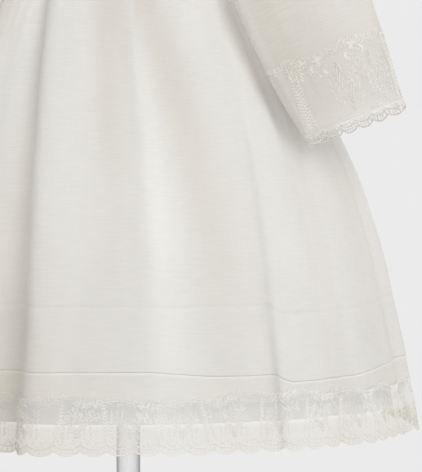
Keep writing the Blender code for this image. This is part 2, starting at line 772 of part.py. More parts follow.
def make_stand():
    """The clear pole, and the round base with the socket that holds it."""
    pole_top = HEM_HEIGHT + FORM_OUTLINE[0].above_hem - GAP
    pole = [
        (POLE_RADIUS - POLE_BEVEL, SOCKET_FLOOR + GAP),
        (POLE_RADIUS, SOCKET_FLOOR + GAP + POLE_BEVEL),
        (POLE_RADIUS, pole_top),
    ]
    lathe("stand_pole", pole, "clear_acrylic", sides=24)
    profile = [
        (BASE_RADIUS - BASE_EDGE, 0.0),
        (BASE_RADIUS, BASE_EDGE),
        (BASE_RADIUS, BASE_THICKNESS - BASE_EDGE),
        (BASE_RADIUS - BASE_EDGE, BASE_THICKNESS),
        (BOSS_RADIUS + BOSS_BEVEL, BASE_THICKNESS),
        (BOSS_RADIUS, BASE_THICKNESS + BOSS_BEVEL),
        (BOSS_RADIUS, BOSS_HEIGHT - BOSS_BEVEL),
        (BOSS_RADIUS - BOSS_BEVEL, BOSS_HEIGHT),
        (POLE_RADIUS + GAP, BOSS_HEIGHT),
        (POLE_RADIUS + GAP, SOCKET_FLOOR),
    ]
    lathe("stand_base", profile, "base")


def main():
    clear_scene()
    make_stand()
    make_form()
    make_bodice()
    make_binding()
    make_buttons()
    make_sleeves()
    make_cuff_lace()
    make_skirt()
    make_hem_lace()
    make_lining()


main()
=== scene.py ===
"""A child's ivory lace dress on its stand, as it looks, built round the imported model.

Sizes are in millimetres and become metres as each mesh is made. The dress front faces -Y.
Heights called above_hem are measured from the lower edge of the hem lace. A turn is an angle
in degrees round the body, 0 at the centre front and 90 at the wearer's left side seam.
"""

from collections import namedtuple
from math import atan2, cos, pi, radians, sin

import bpy
import numpy as np
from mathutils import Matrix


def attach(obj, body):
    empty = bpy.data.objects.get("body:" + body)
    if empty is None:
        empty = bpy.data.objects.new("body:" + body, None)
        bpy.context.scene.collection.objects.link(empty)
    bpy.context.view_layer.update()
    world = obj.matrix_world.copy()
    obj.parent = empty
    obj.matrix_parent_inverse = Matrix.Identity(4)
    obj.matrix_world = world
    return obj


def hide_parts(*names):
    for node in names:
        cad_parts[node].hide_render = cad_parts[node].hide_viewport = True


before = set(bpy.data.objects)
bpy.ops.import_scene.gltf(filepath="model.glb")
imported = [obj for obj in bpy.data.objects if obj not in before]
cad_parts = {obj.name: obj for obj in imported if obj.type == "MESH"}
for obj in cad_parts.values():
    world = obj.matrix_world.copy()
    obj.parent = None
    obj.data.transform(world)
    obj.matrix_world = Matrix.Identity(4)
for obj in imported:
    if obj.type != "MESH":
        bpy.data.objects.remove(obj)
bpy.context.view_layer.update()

MM = 0.001
LINE_STEPS = 3000


def table(columns, *rows):
    """Rows of numbers with named columns."""
    row_kind = namedtuple("Row", columns)
    return [row_kind(*row) for row in rows]


# Driving dimensions, as in the solids.
HEM_HEIGHT = 300.0
SEAM = 478.0
SHOULDER_TIP = 660.0
NECK_POINT = 690.0
UNDERARM = 528.0
TUCK_STITCH = 135.0
TUCK_FOLD = 76.0
LACE_TOP = 46.0
GAP = 0.3

# The skirt.
SKIRT_DEPTH_SHARE = 0.84
SIDE_SEAM_HALF_GAP = 0.1
GATHER_RISE = 1.6
GATHER_FADE = 45.0
FOLD_START = 28.0

SKIRT_OUTLINE = table(
    "above_hem half_width",
    (0, 290),
    (30, 285),
    (75, 276.5),
    (134, 263),
    (167, 256),
    (211, 243),
    (252, 229),
    (292, 210.5),
    (352, 181),
    (390, 160),
    (427, 139),
    (450, 124.5),
    (478, 112),
)

# A fold is a crest that leans over the hollow on its -turn side, or its +turn side where the
# width is negative. lap is how far it leans, as a share of the width. Turns and sizes are
# given at the waist seam and at the hem.
FOLDS = table(
    "turn_high turn_low rise_high rise_low width_high width_low lap",
    (-150, -148, 9, 13, 9, 17, 0.45),
    (-118, -120, 9, 14, -9, -17, 0.45),
    (-80, -76, 6, 8, 8, 17, 0.0),
    (-60, -50, 8, 12, 9, 17, 0.35),
    (-37.5, -20.4, 13, 21, 10, 18, 0.3),
    (2.2, 4.0, 6, 0, 8, 16, 0.35),
    (39.3, 30, 1, 8, 8, 12, 0.5),
    (46, 49, 3, 8, 9, 17, 0.1),
    (82, 78, 5, 7, 8, 16, 0.0),
    (118, 112, 9, 15, 9, 17, 0.45),
    (146, 148, 9, 13, -9, -17, 0.45),
    (178, 177, 10, 8, 9, 16, 0.35),
)
FOLD_RUN = 3.0

# Soft hollows between the folds, which fade towards the hem.
HOLLOWS = table(
    "turn_high turn_low depth_high depth_low width",
    (-10, -3, 6, 0, 7),
    (0, 20, 9, 1, 8),
    (62, 66, 5, 4, 12),
    (-96, -97, 6, 5, 13),
    (-168, -165, 6, 3, 11),
    (131, 130, 5, 4, 11),
    (97, 95, 4, 4, 10),
)

# A fold's crest, and the dip that it leans over, are bell curves across it. Their places and
# reaches are in fold widths, and their heights are shares of the fold's rise.
CREST_PLACE = 0.9
CREST_REACH = 1.5
CREST_SHARE = 0.5
DIP_REACH = 1.0
DIP_SHARE = 0.7
# How far the painted shade in a fold's dip reaches, in fold widths.
DIP_PAINTED_SHADE_REACH = 1.3
FULL_LEAN_RISE = 8.0

# Layers of soft noise in the cloth, outwards: how strong, the turn in which it repeats, the
# rise of one unit of noise, where it starts in those units, and its seed.
Layer = namedtuple("Layer", "strength repeat rise start seed")
SKIRT_CRINKLES = (
    Layer(0.9, 360, 150, 0, 21),
    Layer(0.45, 180, 60, 5, 22),
    Layer(0.16, 90, 22, 9, 23),
)
LINING_CRINKLES = (Layer(0.7, 360, 90, 3, 31),)
SLEEVE_CRINKLES = (Layer(1.1, 720, 55, 2, 41), Layer(0.45, 360, 26, 4, 42))
BODICE_CRINKLES = (Layer(0.6, 360, 1 / 3, 2, 51), Layer(0.3, 180, 1 / 8, 1, 52))
GATHERS = (Layer(1.0, 180, 60, 7, 11),)
FINE_GATHERS = (Layer(0.7, 90, 30, 0, 12),)
FINE_GATHER_FADE = 40.0

# The lining hangs inside the skirt and follows its folds gently.
LINING = table(
    "above_hem side_inset front_inset",
    (27, 11, 15),
    (150, 12, 17),
    (270, 14, 18),
    (360, 14, 18),
    (420, 13, 16),
    (455, 9, 10),
    (474, 4.4, 4.4),
)
LINING_FOLD_SHARE = 0.65

# Painted shade on the skirt beside that of its folds, with painted light below 0, in levels of
# 255 at the waist, halfway down and at the hem. The reaches are in millimetres on both sides,
# high and low.
PAINTED_SHADES = table(
    "turn_high turn_low waist middle hem before_high before_low after_high after_low",
    (-39, -24.5, 4, 5, 11, 4, 60, 12, 42),
    (-3.5, 7.3, -5, -15, -4, 4, 16, 12, 28),
    (-12, -3, 9, 1, 0, 12, 14, 11, 14),
    (0.5, 19, 3, 3, 0, 12, 26, 13, 20),
    (45, 45, 0, 3, 3, 20, 24, 20, 24),
    (-20, -18, 0, 0, 8, 50, 50, 50, 60),
)
# Painted shade in each fold's dip, in levels per millimetre of its rise, and in each hollow, in
# levels per millimetre of its depth; the deepest painted shade in levels; and the ratios that
# painted shade and painted light multiply the colour by.
FOLD_PAINTED_SHADE = 0.25
HOLLOW_PAINTED_SHADE = 1.6
DEEPEST_PAINTED_SHADE = 40.0
PAINTED_SHADE_RATIO = (0.747, 0.695, 0.58)
PAINTED_LIGHT_RATIO = (1.3, 1.3, 1.3)

# The skirt has painted light beside the sleeves, where its rendered shadow is deeper than the
# photo's. It starts and is full at these heights above the hem.
SLEEVE_LIGHT = 18.0
SLEEVE_TURN = 54.0
SLEEVE_REACH = 45.0
SLEEVE_LIGHT_START = 265.0
SLEEVE_LIGHT_FULL = 310.0

# The sleeve's painted shade, in levels of 255, with painted light below 0: all over, above the
# cuff, at the inner side in front, at the inner edge, in the crease beside the outer edge, and
# behind. Places and reaches are shares of the way across, from the outer edge.
SLEEVE_PAINTED_SHADE = 5.0
SLEEVE_PAINTED_SHADE_ABOVE_CUFF = 2.0
SLEEVE_PAINTED_SHADE_INNER = 12.0
SLEEVE_PAINTED_SHADE_EDGE = 5.0
SLEEVE_PAINTED_SHADE_CREASE = -9.0
SLEEVE_PAINTED_SHADE_BEHIND = -14.0
SLEEVE_INNER_SHARES = (0.0, 0.33, 0.7, 1.0)
SLEEVE_EDGE_REACH = 0.06
SLEEVE_CREASE = 0.035
SLEEVE_CREASE_REACH = 0.02
SLEEVE_INNER_AT_CUFF = 0.35
# Distances up from the lace's edge over which the painted shade above the cuff grows.
CUFF_PAINTED_SHADE_START = 20.0
CUFF_PAINTED_SHADE_END = 80.0

# How far the tuck hangs low at turns round the skirt: its folded edge, and its stitches.
TUCK_DROPS = table(
    "turn edge stitches",
    (4, 0, 0),
    (17, 5, 0.5),
    (30, 5.5, 1),
    (34, 12.5, 8.5),
    (46, 12, 9),
    (67, 5, 6),
    (84, 0, 0),
)
TUCK_DROP_START = LACE_TOP + 4
TUCK_DROP_FULL = TUCK_FOLD - 2
TUCK_DROP_TOP = TUCK_STITCH + 3
TUCK_DROP_FADE = 60.0

# The lace.
HEM_SCALLOPS = 35
SCALLOP_DEPTH = 4.2
SCALLOP_POINT = 1.3
NET_STEPS = 12
EDGE_LEVEL = 13.6

# The bodice, as level sections of the cloth.
BODICE_OUTLINE = table(
    "above_hem half_width half_depth",
    (478, 112, 94),
    (503, 112.5, 94.5),
    (530, 113, 94),
    (560, 113, 90),
    (590, 115, 84),
    (615, 118, 77),
    (635, 120, 69),
    (650, 121, 61),
    (660, 118.5, 56),
    (668, 104, 52),
    (675, 86, 49),
    (682, 67, 46),
    (690, 49, 44),
)
NECK_DROP_FRONT = 46.0
NECK_DROP_BACK = 14.0
NECK_SPREAD = 28.0
NECK_ROUNDING = 1.9
ARMHOLE_HALF_TURN = 33.0
SHOULDER_SEAM_HALF_GAP = 0.22
BACK_LAP = 8.0
BACK_LAP_LIFT = 1.0
BACK_LAP_BLEND = 22.0
BINDING_HEIGHT = 7.0
BINDING_THICKNESS = 2.2
BINDING_LIFT = 1.6
BINDING_TAPER = 0.972
BINDING_SIDES = 15
BINDING_OPEN_TURNS = (-75, 255)
BINDING_END_TURN = 179.2
BUTTONS_ABOVE_HEM = (520.0, 580.0, 640.0)
BUTTON_SIDES = 40
BUTTON_STAND = 1.0
BUTTON_THREAD_RADIUS = 0.32
BUTTON_PROFILE = (
    (4.4, 0),
    (5.2, 0.3),
    (5.5, 0.9),
    (5.5, 1.5),
    (5.1, 2.1),
    (4.5, 2.4),
    (3.8, 2.2),
    (3.3, 1.7),
    (1.0, 1.6),
)

# The bodice's flat width round half of it, and how many columns it has.
BODICE_HALF_ROUND = 330
BODICE_COLUMNS = 70

# The wearer's left sleeve: both edges of each flattened section, and half its thickness.
SLEEVE_SECTIONS = table(
    "inner outer half_thickness",
    ((116.5, -1, 531), (135, 0, 660), 46),
    ((117.5, -8, 525), (155, 0, 646), 46),
    ((116, -30, 514), (178, -6, 618), 41),
    ((109, -61, 494), (197, -16, 576), 33),
    ((99.5, -94, 462), (211, -31, 530), 25),
    ((101.5, -116, 424), (223.8, -51, 475), 18),
    ((138.7, -134, 341), (248.6, -80, 384), 16),
    ((173.5, -138, 282.5), (269, -92, 316), 15),
)
ARMHOLE_STEP = 1.3
RIGHT_SLEEVE_OUT = 34.0
RIGHT_SLEEVE_BEND = 520.0
RIGHT_SLEEVE_RUN = 80.0
SLEEVE_END = 13.0
SLEEVE_ROUND = 230
SLEEVE_COLUMNS = 120
CUFF_SCALLOPS = 7
CUFF_LACE_LIFT = 0.4

# The dress form, as level sections, and its stand.
FORM_OUTLINE = table(
    "above_hem half_width half_depth",
    (238, 44, 38),
    (242, 72, 60),
    (252, 89, 74),
    (272, 98, 81),
    (305, 100, 83),
    (355, 96, 80),
    (410, 92, 76),
    (455, 95, 79),
    (490, 99, 83),
    (530, 103, 86),
    (560, 105, 83),
    (590, 108.5, 78),
    (615, 112, 71),
    (635, 115, 63.5),
    (650, 117, 56.5),
    (657, 114, 52.5),
    (664, 99, 48.5),
    (671, 80, 45),
    (678, 61, 42),
    (685, 46, 40),
    (695, 41.5, 39),
    (715, 40, 38.5),
    (748, 40, 38.5),
)

# Profiles of the turned pieces, as (radius, height). The cap's heights are above the form.
CAP_PROFILE = (
    (39.5, 0.0),
    (41.0, 0.6),
    (41.5, 1.6),
    (41.5, 6.2),
    (40.6, 8.0),
    (38.5, 9.0),
    (5.0, 9.0),
)
POLE_PROFILE = ((11.0, 4.3), (11.6, 4.6), (12.0, 5.3), (12.0, 400.0), (12.0, 537.7))
BASE_PROFILE = (
    (147.5, 0.0),
    (149.2, 0.7),
    (150.0, 2.5),
    (150.0, 6.5),
    (149.2, 8.3),
    (147.5, 9.0),
    (26.0, 9.0),
    (24.6, 9.6),
    (24.0, 11.0),
    (24.0, 20.0),
    (23.4, 21.4),
    (22.0, 22.0),
    (13.0, 22.0),
    (12.3, 21.3),
    (12.3, 4.0),
)

# The photograph's view.
CAMERA_PLACE = (0.0, -2.8, 0.62)
CAMERA_AIM = (0.083, 0.0, 0.491)
CAMERA_LENS = 213.6
FLOOR_REACH = 500000.0

# The light. The floor's tone makes it as bright as the background behind it.
BACKGROUND = 0.831
KEY_STRENGTH = 0.9
KEY_TILT = (52, 0, 35)
KEY_SOFTNESS = 40.0
FLOOR_TONE = BACKGROUND / (BACKGROUND + KEY_STRENGTH / pi * cos(radians(KEY_TILT[0])))


# Numbers and curves.


def eased(t, start, end, leaving, arriving):
    """A smooth curve from start to end, and the slopes that it leaves and arrives with."""
    return (
        start * (1 + 2 * t) * (1 - t) ** 2
        + leaving * t * (1 - t) ** 2
        + end * t * t * (3 - 2 * t)
        + arriving * t * t * (t - 1)
    )


def smooth(xs, ys, at):
    """A smooth curve through the points (xs, ys), with xs rising, read at one or more places."""
    xs, ys, at = (np.asarray(v, float) for v in (xs, ys, at))
    slopes = np.gradient(ys, xs, axis=0)
    i = np.clip(np.searchsorted(xs, at, side="right") - 1, 0, len(xs) - 2)
    span = xs[i + 1] - xs[i]
    t = np.clip((at - xs[i]) / span, 0.0, 1.0)
    return eased(t, ys[i], ys[i + 1], slopes[i] * span, slopes[i + 1] * span)


def bell(x):
    """A bell curve, 1 at the middle."""
    return np.exp(-x * x)


def grown(x, start, full):
    """How far x has come from start, 0, to full, 1."""
    return np.clip((x - start) / (full - start), 0, 1)


def column(rows, name, at):
    """A column of a table of level sections, read smoothly at heights above the hem."""
    heights = [row.above_hem for row in rows]
    return smooth(heights, [getattr(row, name) for row in rows], at)


def wrapped(turns):
    """Turns brought into -180 to 180."""
    return (np.asarray(turns, float) + 180.0) % 360.0 - 180.0


NOISE_CELLS = 64


def noise(x, y, seed):
    """Smooth seeded noise from -1 to 1 over a plane, which repeats every NOISE_CELLS units."""
    values = np.random.default_rng(seed).uniform(-1, 1, (NOISE_CELLS, NOISE_CELLS))
    i, j = np.floor(x).astype(int), np.floor(y).astype(int)
    u, v = x - i, y - j
    u, v = u * u * (3 - 2 * u), v * v * (3 - 2 * v)
    i, j, i2, j2 = (k % NOISE_CELLS for k in (i, j, i + 1, j + 1))
    low = values[i, j] * (1 - u) + values[i2, j] * u
    high = values[i, j2] * (1 - u) + values[i2, j2] * u
    return low * (1 - v) + high * v


def crinkle(layers, turns, up):
    """The layers of noise together, at turns and ways up."""
    total = 0
    for layer in layers:
        across = np.asarray(turns) * NOISE_CELLS / layer.repeat
        total = total + layer.strength * noise(across, up / layer.rise + layer.start, layer.seed)
    return total


def lengths_along(line):
    """How far along a line of points each one lies."""
    steps = np.linalg.norm(np.diff(line, axis=0), axis=1)
    return np.concatenate([[0], np.cumsum(steps)])


def unit(vectors):
    """The vectors, each made one long."""
    return vectors / np.maximum(np.linalg.norm(vectors, axis=-1, keepdims=True), 1e-9)


def moved_out(points, distance):
    """Points moved level, away from the pole's middle line."""
    return points + unit(points * (1, 1, 0)) * np.asarray(distance)[..., None]


def turned(half_widths, half_depths, heights, angles):
    """Points at angles round level sections, with 0 in front."""
    return np.stack([half_widths * np.sin(angles), -half_depths * np.cos(angles), heights], axis=-1)


# The surfaces.


def skirt_state(turns, above_hem):
    """What the skirt's points and its tones both need, at turns and heights."""
    share = (SEAM - above_hem) / SEAM
    drawn = np.maximum(1 - share, 0) ** FOLD_RUN
    folds = sorted(FOLDS, key=lambda fold: fold.turn_low)
    places = [fold.turn_low for fold in folds]
    shifts = [fold.turn_high - fold.turn_low for fold in folds]
    places = [places[-1] - 360, *places, places[0] + 360]
    shifts = [shifts[-1], *shifts, shifts[0]]
    degrees = turns + np.interp(wrapped(turns), places, shifts) * drawn
    started = 1 - bell((SEAM - above_hem) / FOLD_START)
    return share, drawn, degrees, started


def fold_state(fold, turns, share, radius):
    """A fold's rise and width, and how many widths the turns lie from it."""
    rise = fold.rise_high + (fold.rise_low - fold.rise_high) * share
    width = fold.width_high + (fold.width_low - fold.width_high) * share
    away = np.radians(wrapped(turns - fold.turn_low)) * radius / width
    return rise, width, away


def hollow_depth(hollow, degrees, share, drawn):
    """How deep a hollow is at places round the skirt."""
    depth = hollow.depth_high + (hollow.depth_low - hollow.depth_high) * share
    middle = hollow.turn_low + (hollow.turn_high - hollow.turn_low) * drawn
    away = wrapped(degrees - middle) / hollow.width
    return depth * bell(away)


def skirt_points(turns, above_hem, side_inset=0.0, front_inset=0.0, fold_share=1.0):
    """Points of the skirt. The turns are those of the same threads at the hem."""
    turns, above_hem = np.broadcast_arrays(
        np.asarray(turns, float), np.asarray(above_hem, float)
    )
    share, drawn, degrees, started = skirt_state(turns, above_hem)
    outline = column(SKIRT_OUTLINE, "half_width", above_hem)
    half_width = outline - side_inset
    half_depth = outline * SKIRT_DEPTH_SHARE - front_inset
    radius = (half_width + half_depth) / 2
    out = np.zeros(turns.shape)
    along = np.zeros(turns.shape)
    for fold in FOLDS:
        rise, width, away = fold_state(fold, turns, share, radius)
        rise = rise * started * fold_share
        out += CREST_SHARE * rise * bell((away - CREST_PLACE) / CREST_REACH)
        out -= DIP_SHARE * rise * bell((away + CREST_PLACE) / DIP_REACH)
        lean = fold.lap * width * fold_share * started * np.minimum(1.0, rise / FULL_LEAN_RISE)
        along -= lean * away * np.exp(0.5 - 0.5 * away * away)
    for hollow in HOLLOWS:
        out -= hollow_depth(hollow, degrees, share, drawn) * started * fold_share
    angle = np.radians(degrees)
    fade = np.exp(-(SEAM - above_hem) / GATHER_FADE)
    out += GATHER_RISE * fade * fold_share * gathers(degrees, above_hem)
    sines, cosines = np.sin(angle), np.cos(angle)
    outward = unit(np.stack([sines / half_width, -cosines / half_depth], axis=-1))
    onward = np.stack([-outward[..., 1], outward[..., 0]], axis=-1)
    level = np.stack([half_width * sines, -half_depth * cosines], axis=-1)
    level = level + outward * out[..., None] + onward * along[..., None]
    return np.concatenate([level, (HEM_HEIGHT + above_hem)[..., None]], axis=-1)


def skirt_painted_shade(turns, above_hem):
    """Painted shade on the skirt, as a share of the deepest, with painted light below 0."""
    share, drawn, degrees, started = skirt_state(turns, above_hem)
    radius = column(SKIRT_OUTLINE, "half_width", above_hem) * (1 + SKIRT_DEPTH_SHARE) / 2
    levels = np.zeros(turns.shape)
    for fold in FOLDS:
        rise, width, away = fold_state(fold, turns, share, radius)
        levels += FOLD_PAINTED_SHADE * rise * bell((away + CREST_PLACE) / DIP_PAINTED_SHADE_REACH)
    for hollow in HOLLOWS:
        levels += HOLLOW_PAINTED_SHADE * hollow_depth(hollow, degrees, share, drawn)
    for shade in PAINTED_SHADES:
        middle = shade.turn_low + (shade.turn_high - shade.turn_low) * drawn
        away = np.radians(wrapped(degrees - middle)) * radius
        before = shade.before_high + (shade.before_low - shade.before_high) * share
        after = shade.after_high + (shade.after_low - shade.after_high) * share
        reach = np.where(away < 0, before, after)
        strength = np.interp(share, (0, 0.5, 1), (shade.waist, shade.middle, shade.hem))
        levels += strength * bell(away / reach)
    # Painted light on the skirt beside the sleeves.
    beside = np.radians(np.abs(wrapped(degrees)) - SLEEVE_TURN) * radius / SLEEVE_REACH
    covered = grown(above_hem, SLEEVE_LIGHT_START, SLEEVE_LIGHT_FULL)
    levels -= SLEEVE_LIGHT * covered * bell(beside)
    return levels * started / DEEPEST_PAINTED_SHADE


def tuck_drop(turns, above_hem):
    """How far the tuck's uneven hang lowers the cloth at turns and heights."""
    places = [drop.turn for drop in TUCK_DROPS]
    edge = np.interp(turns, places, [drop.edge for drop in TUCK_DROPS])
    stitches = np.interp(turns, places, [drop.stitches for drop in TUCK_DROPS])
    rising = grown(above_hem, TUCK_DROP_START, TUCK_DROP_FULL)
    up_tuck = grown(above_hem, TUCK_FOLD, TUCK_STITCH)
    faded = grown(above_hem, TUCK_DROP_TOP, TUCK_DROP_TOP + TUCK_DROP_FADE)
    return (edge + (stitches - edge) * up_tuck) * rising * (1 - faded)


def gathers(turns, above_hem):
    """The small uneven gathers below the waist seam."""
    down = SEAM - above_hem
    fine = crinkle(FINE_GATHERS, turns, down) * np.exp(-down / FINE_GATHER_FADE)
    return crinkle(GATHERS, turns, down) + fine


def with_normals(surface, turns, above_hem, step=(0.2, 1.5)):
    """Points of a surface and its outward normals, from turns running on and heights rising."""
    across = surface(turns + step[0], above_hem) - surface(turns - step[0], above_hem)
    rising = surface(turns, above_hem + step[1]) - surface(turns, above_hem - step[1])
    return surface(turns, above_hem), unit(np.cross(across, rising))


def skirt_outer(turns, above_hem):
    """The skirt's outer cloth, with its own soft unevenness."""
    points = skirt_points(turns, above_hem)
    return moved_out(points, crinkle(SKIRT_CRINKLES, turns, above_hem))


def lining_surface(turns, above_hem):
    """The lining, which hangs free inside the skirt."""
    side = column(LINING, "side_inset", above_hem)
    front = column(LINING, "front_inset", above_hem)
    points = skirt_points(turns, above_hem, side, front, LINING_FOLD_SHARE)
    return moved_out(points, crinkle(LINING_CRINKLES, turns, above_hem))


def neckline(turns):
    """Heights of the neckline above the hem."""
    away = np.abs(wrapped(turns))
    drop = np.where(away < 90, NECK_DROP_FRONT, NECK_DROP_BACK)
    away = np.minimum(away, 180 - away)
    return NECK_POINT - drop * np.exp(-((away / NECK_SPREAD) ** NECK_ROUNDING))


def bodice_points(turns, shares):
    """Points of the bodice. A share runs from 0 at the waist seam to 1 at the neck."""
    turns, shares = np.broadcast_arrays(np.asarray(turns, float), np.asarray(shares, float))
    above_hem = SEAM + (neckline(turns) - SEAM) * shares
    half_width = column(BODICE_OUTLINE, "half_width", above_hem)
    half_depth = column(BODICE_OUTLINE, "half_depth", above_hem)
    return turned(half_width, half_depth, HEM_HEIGHT + above_hem, np.radians(turns))


def share_of(above_hem):
    """The share of a height on the side seam and shoulder."""
    return (above_hem - SEAM) / (NECK_POINT - SEAM)


def armhole(arounds):
    """(turns, shares) on the left armhole: 0 is under the arm, 90 in front, 180 on top."""
    middle = (share_of(UNDERARM) + share_of(SHOULDER_TIP)) / 2
    half = (share_of(SHOULDER_TIP) - share_of(UNDERARM)) / 2
    angle = np.radians(arounds)
    return 90 - ARMHOLE_HALF_TURN * np.sin(angle), middle - half * np.cos(angle)


def sleeve_rings(arounds):
    """The left sleeve's rings, from the armhole down, at angles round the sleeve."""
    arounds = np.asarray(arounds, float)
    rings = [bodice_points(*armhole(arounds)) + (ARMHOLE_STEP, 0, 0)]
    inner = np.array([row.inner for row in SLEEVE_SECTIONS], float)
    outer = np.array([row.outer for row in SLEEVE_SECTIONS], float)
    middles = (inner + outer) / 2
    axes = np.gradient(middles, axis=0)
    angle = np.radians(arounds)[..., None]
    for row, middle, half, axis in zip(SLEEVE_SECTIONS, middles, (inner - outer) / 2, axes):
        front = np.cross(half, axis)
        front *= row.half_thickness / np.linalg.norm(front)
        ring = middle + half * np.cos(angle) + front * np.sin(angle)
        rings.append(ring + (0, 0, HEM_HEIGHT))
    return np.array(rings)


def sleeve_points(arounds, stations):
    """The left sleeve's points at stations along it, whole numbers being the rings."""
    arounds, stations = np.broadcast_arrays(
        np.asarray(arounds, float), np.asarray(stations, float)
    )
    rings = sleeve_rings(arounds)
    slopes = np.gradient(rings, axis=0)
    i = np.clip(np.floor(stations).astype(int), 0, len(rings) - 2)
    t = np.clip(stations - i, 0.0, 1.0)[..., None]

    def picked(of, ring):
        return np.take_along_axis(of, ring[None, ..., None], axis=0)[0]

    ends = picked(rings, i), picked(rings, i + 1)
    return eased(t, *ends, picked(slopes, i), picked(slopes, i + 1))


SLEEVE_LAST = len(SLEEVE_SECTIONS)
SLEEVE_STATIONS = np.linspace(0, SLEEVE_LAST, 900)
FRONT_AND_BACK = np.array([[90.0, 270.0]])
SLEEVE_LENGTHS = lengths_along(
    sleeve_points(FRONT_AND_BACK, SLEEVE_STATIONS[:, None]).mean(axis=1)
)


def sleeve_station(from_edge):
    """The stations that lie given distances up the sleeve from the edge of its lace."""
    return np.interp(SLEEVE_LENGTHS[-1] - from_edge, SLEEVE_LENGTHS, SLEEVE_STATIONS)


def sleeve_surface(arounds, from_edge):
    """The left sleeve, with soft creases, by the distance up from its lace edge."""
    points = sleeve_points(arounds, sleeve_station(from_edge))
    middle = sleeve_points(arounds + 180, sleeve_station(from_edge))
    outward = unit(points - middle)
    return points + outward * crinkle(SLEEVE_CRINKLES, arounds, from_edge)[..., None]


def sleeve_painted_shade(arounds, from_edge):
    """Painted shade on the sleeve: most at its inner side in front, and least outside."""
    sines, across = np.sin(np.radians(arounds)), (1 - np.cos(np.radians(arounds))) / 2
    lower = grown(from_edge, CUFF_PAINTED_SHADE_START, CUFF_PAINTED_SHADE_END)
    inner = 1 - smooth(SLEEVE_INNER_SHARES, (0.0, 0.0, 1.0, 1.0), across)
    inner = inner * (SLEEVE_INNER_AT_CUFF + (1 - SLEEVE_INNER_AT_CUFF) * lower)
    levels = SLEEVE_PAINTED_SHADE_INNER * inner
    levels += SLEEVE_PAINTED_SHADE_EDGE * lower * np.exp(-(1 - across) / SLEEVE_EDGE_REACH)
    levels += SLEEVE_PAINTED_SHADE_CREASE * bell((across - SLEEVE_CREASE) / SLEEVE_CREASE_REACH)
    levels = levels * (1 + sines) / 2 + SLEEVE_PAINTED_SHADE_BEHIND * np.maximum(0, -sines)
    return (levels + SLEEVE_PAINTED_SHADE + SLEEVE_PAINTED_SHADE_ABOVE_CUFF * lower) / DEEPEST_PAINTED_SHADE


def to_right(points):
    """Points of the right sleeve from the left one's: below the armhole it hangs further out."""
    moved = points * (-1, 1, 1)
    below = np.maximum(0, HEM_HEIGHT + RIGHT_SLEEVE_BEND - moved[..., 2])
    moved[..., 0] -= RIGHT_SLEEVE_OUT * (1 - bell(below / RIGHT_SLEEVE_RUN))
    return moved


# Materials.


# How long a band of the wave texture is, the strengths of the slubs and weave in the cloth,
# and the painted shade on the clear rod as (how far it turns from view, grey, blue).
WAVE_BAND = 0.32
WEFT_SLUB = 0.6
WARP_SLUB = 0.3
WEAVE_HEIGHT = 0.35
CLOUD_TONE = 0.975
STITCH_BAND = 0.5
ROD_PAINTED_SHADE = (
    (0.0, 0.93, 0.94),
    (0.05, 0.9, 0.9135),
    (0.134, 0.8, 0.812),
    (0.286, 0.66, 0.6699),
    (0.4, 0.4, 0.406),
    (0.56, 0.17, 0.17255),
    (1.0, 0.11, 0.115),
)


class Look:
    """A material, with short ways to add nodes to it. Sizes over the cloth are in millimetres."""

    def __init__(self, name):
        self.material = bpy.data.materials.new(name)
        self.material.use_nodes = True
        self.tree = self.material.node_tree
        self.shader = self.tree.nodes["Principled BSDF"]

    def fill(self, node, values):
        """Sets a node's inputs to numbers or colours, or joins them to other nodes' outputs."""
        for key, value in values.items():
            socket = node.inputs[key]
            if isinstance(value, bpy.types.NodeSocket):
                self.tree.links.new(value, socket)
            elif socket.type == "RGBA":
                socket.default_value = (*value, 1.0)
            else:
                socket.default_value = value

    def add(self, kind, values, **settings):
        """A new node, with its input values and its settings."""
        node = self.tree.nodes.new("ShaderNode" + kind)
        for key, value in settings.items():
            setattr(node, key, value)
        self.fill(node, values)
        return node

    def math(self, operation, first, second):
        return self.add("Math", {0: first, 1: second}, operation=operation).outputs[0]

    def flat(self, wide, tall):
        """The piece's flat coordinates, in units this wide and tall."""
        found = self.add("UVMap", {}, uv_map="flat")
        scale = (1 / wide, 1 / tall, 1.0)
        values = {"Vector": found.outputs["UV"], "Scale": scale}
        return self.add("Mapping", values).outputs["Vector"]

    def noise(self, wide, tall, detail=2.0, roughness=0.5):
        """Noise with spots about this wide and tall."""
        values = {"Vector": self.flat(wide, tall), "Scale": 1.0}
        values.update({"Detail": detail, "Roughness": roughness})
        return self.add("TexNoise", values).outputs["Fac"]

    def bands(self, place, direction, distortion):
        """Soft bands across one direction."""
        values = {"Vector": place, "Scale": 1.0, "Distortion": distortion}
        node = self.add("TexWave", values, wave_type="BANDS", bands_direction=direction)
        return node.outputs["Fac"]

    def ramp(self, fac, low, high, start=0.0, end=1.0):
        """A number carried from low..high to start..end, held at both ends."""
        values = {"Value": fac, "From Min": low, "From Max": high, "To Min": start, "To Max": end}
        return self.add("MapRange", values).outputs["Result"]

    def mix(self, fac, first, second, blend="MIX"):
        """A colour between two, which are tuples or sockets."""
        values = {"Factor": fac, "A": first, "B": second}
        node = self.add("Mix", values, data_type="RGBA", blend_type=blend)
        return node.outputs["Result"]

    def with_painted_shade(self, colour):
        """A colour darkened by the piece's painted shade, or lightened by its painted light."""
        # The deep attribute holds each point's painted shade, with painted light below 0.
        deep = self.add("Attribute", {}, attribute_name="deep").outputs["Fac"]
        lighter = self.math("MULTIPLY", deep, -1.0)
        colour = self.mix(deep, colour, PAINTED_SHADE_RATIO, "MULTIPLY")
        return self.mix(lighter, colour, PAINTED_LIGHT_RATIO, "MULTIPLY")

    def bump(self, height, distance, strength):
        values = {"Height": height, "Distance": distance * MM, "Strength": strength}
        return self.add("Bump", values).outputs["Normal"]

    def surface(self, shader):
        self.tree.links.new(shader, self.tree.nodes["Material Output"].inputs["Surface"])

    def blend(self, fac, first, second):
        """Two shaders mixed, first at 0 and second at 1."""
        return self.add("MixShader", {0: fac, 1: first, 2: second}).outputs[0]


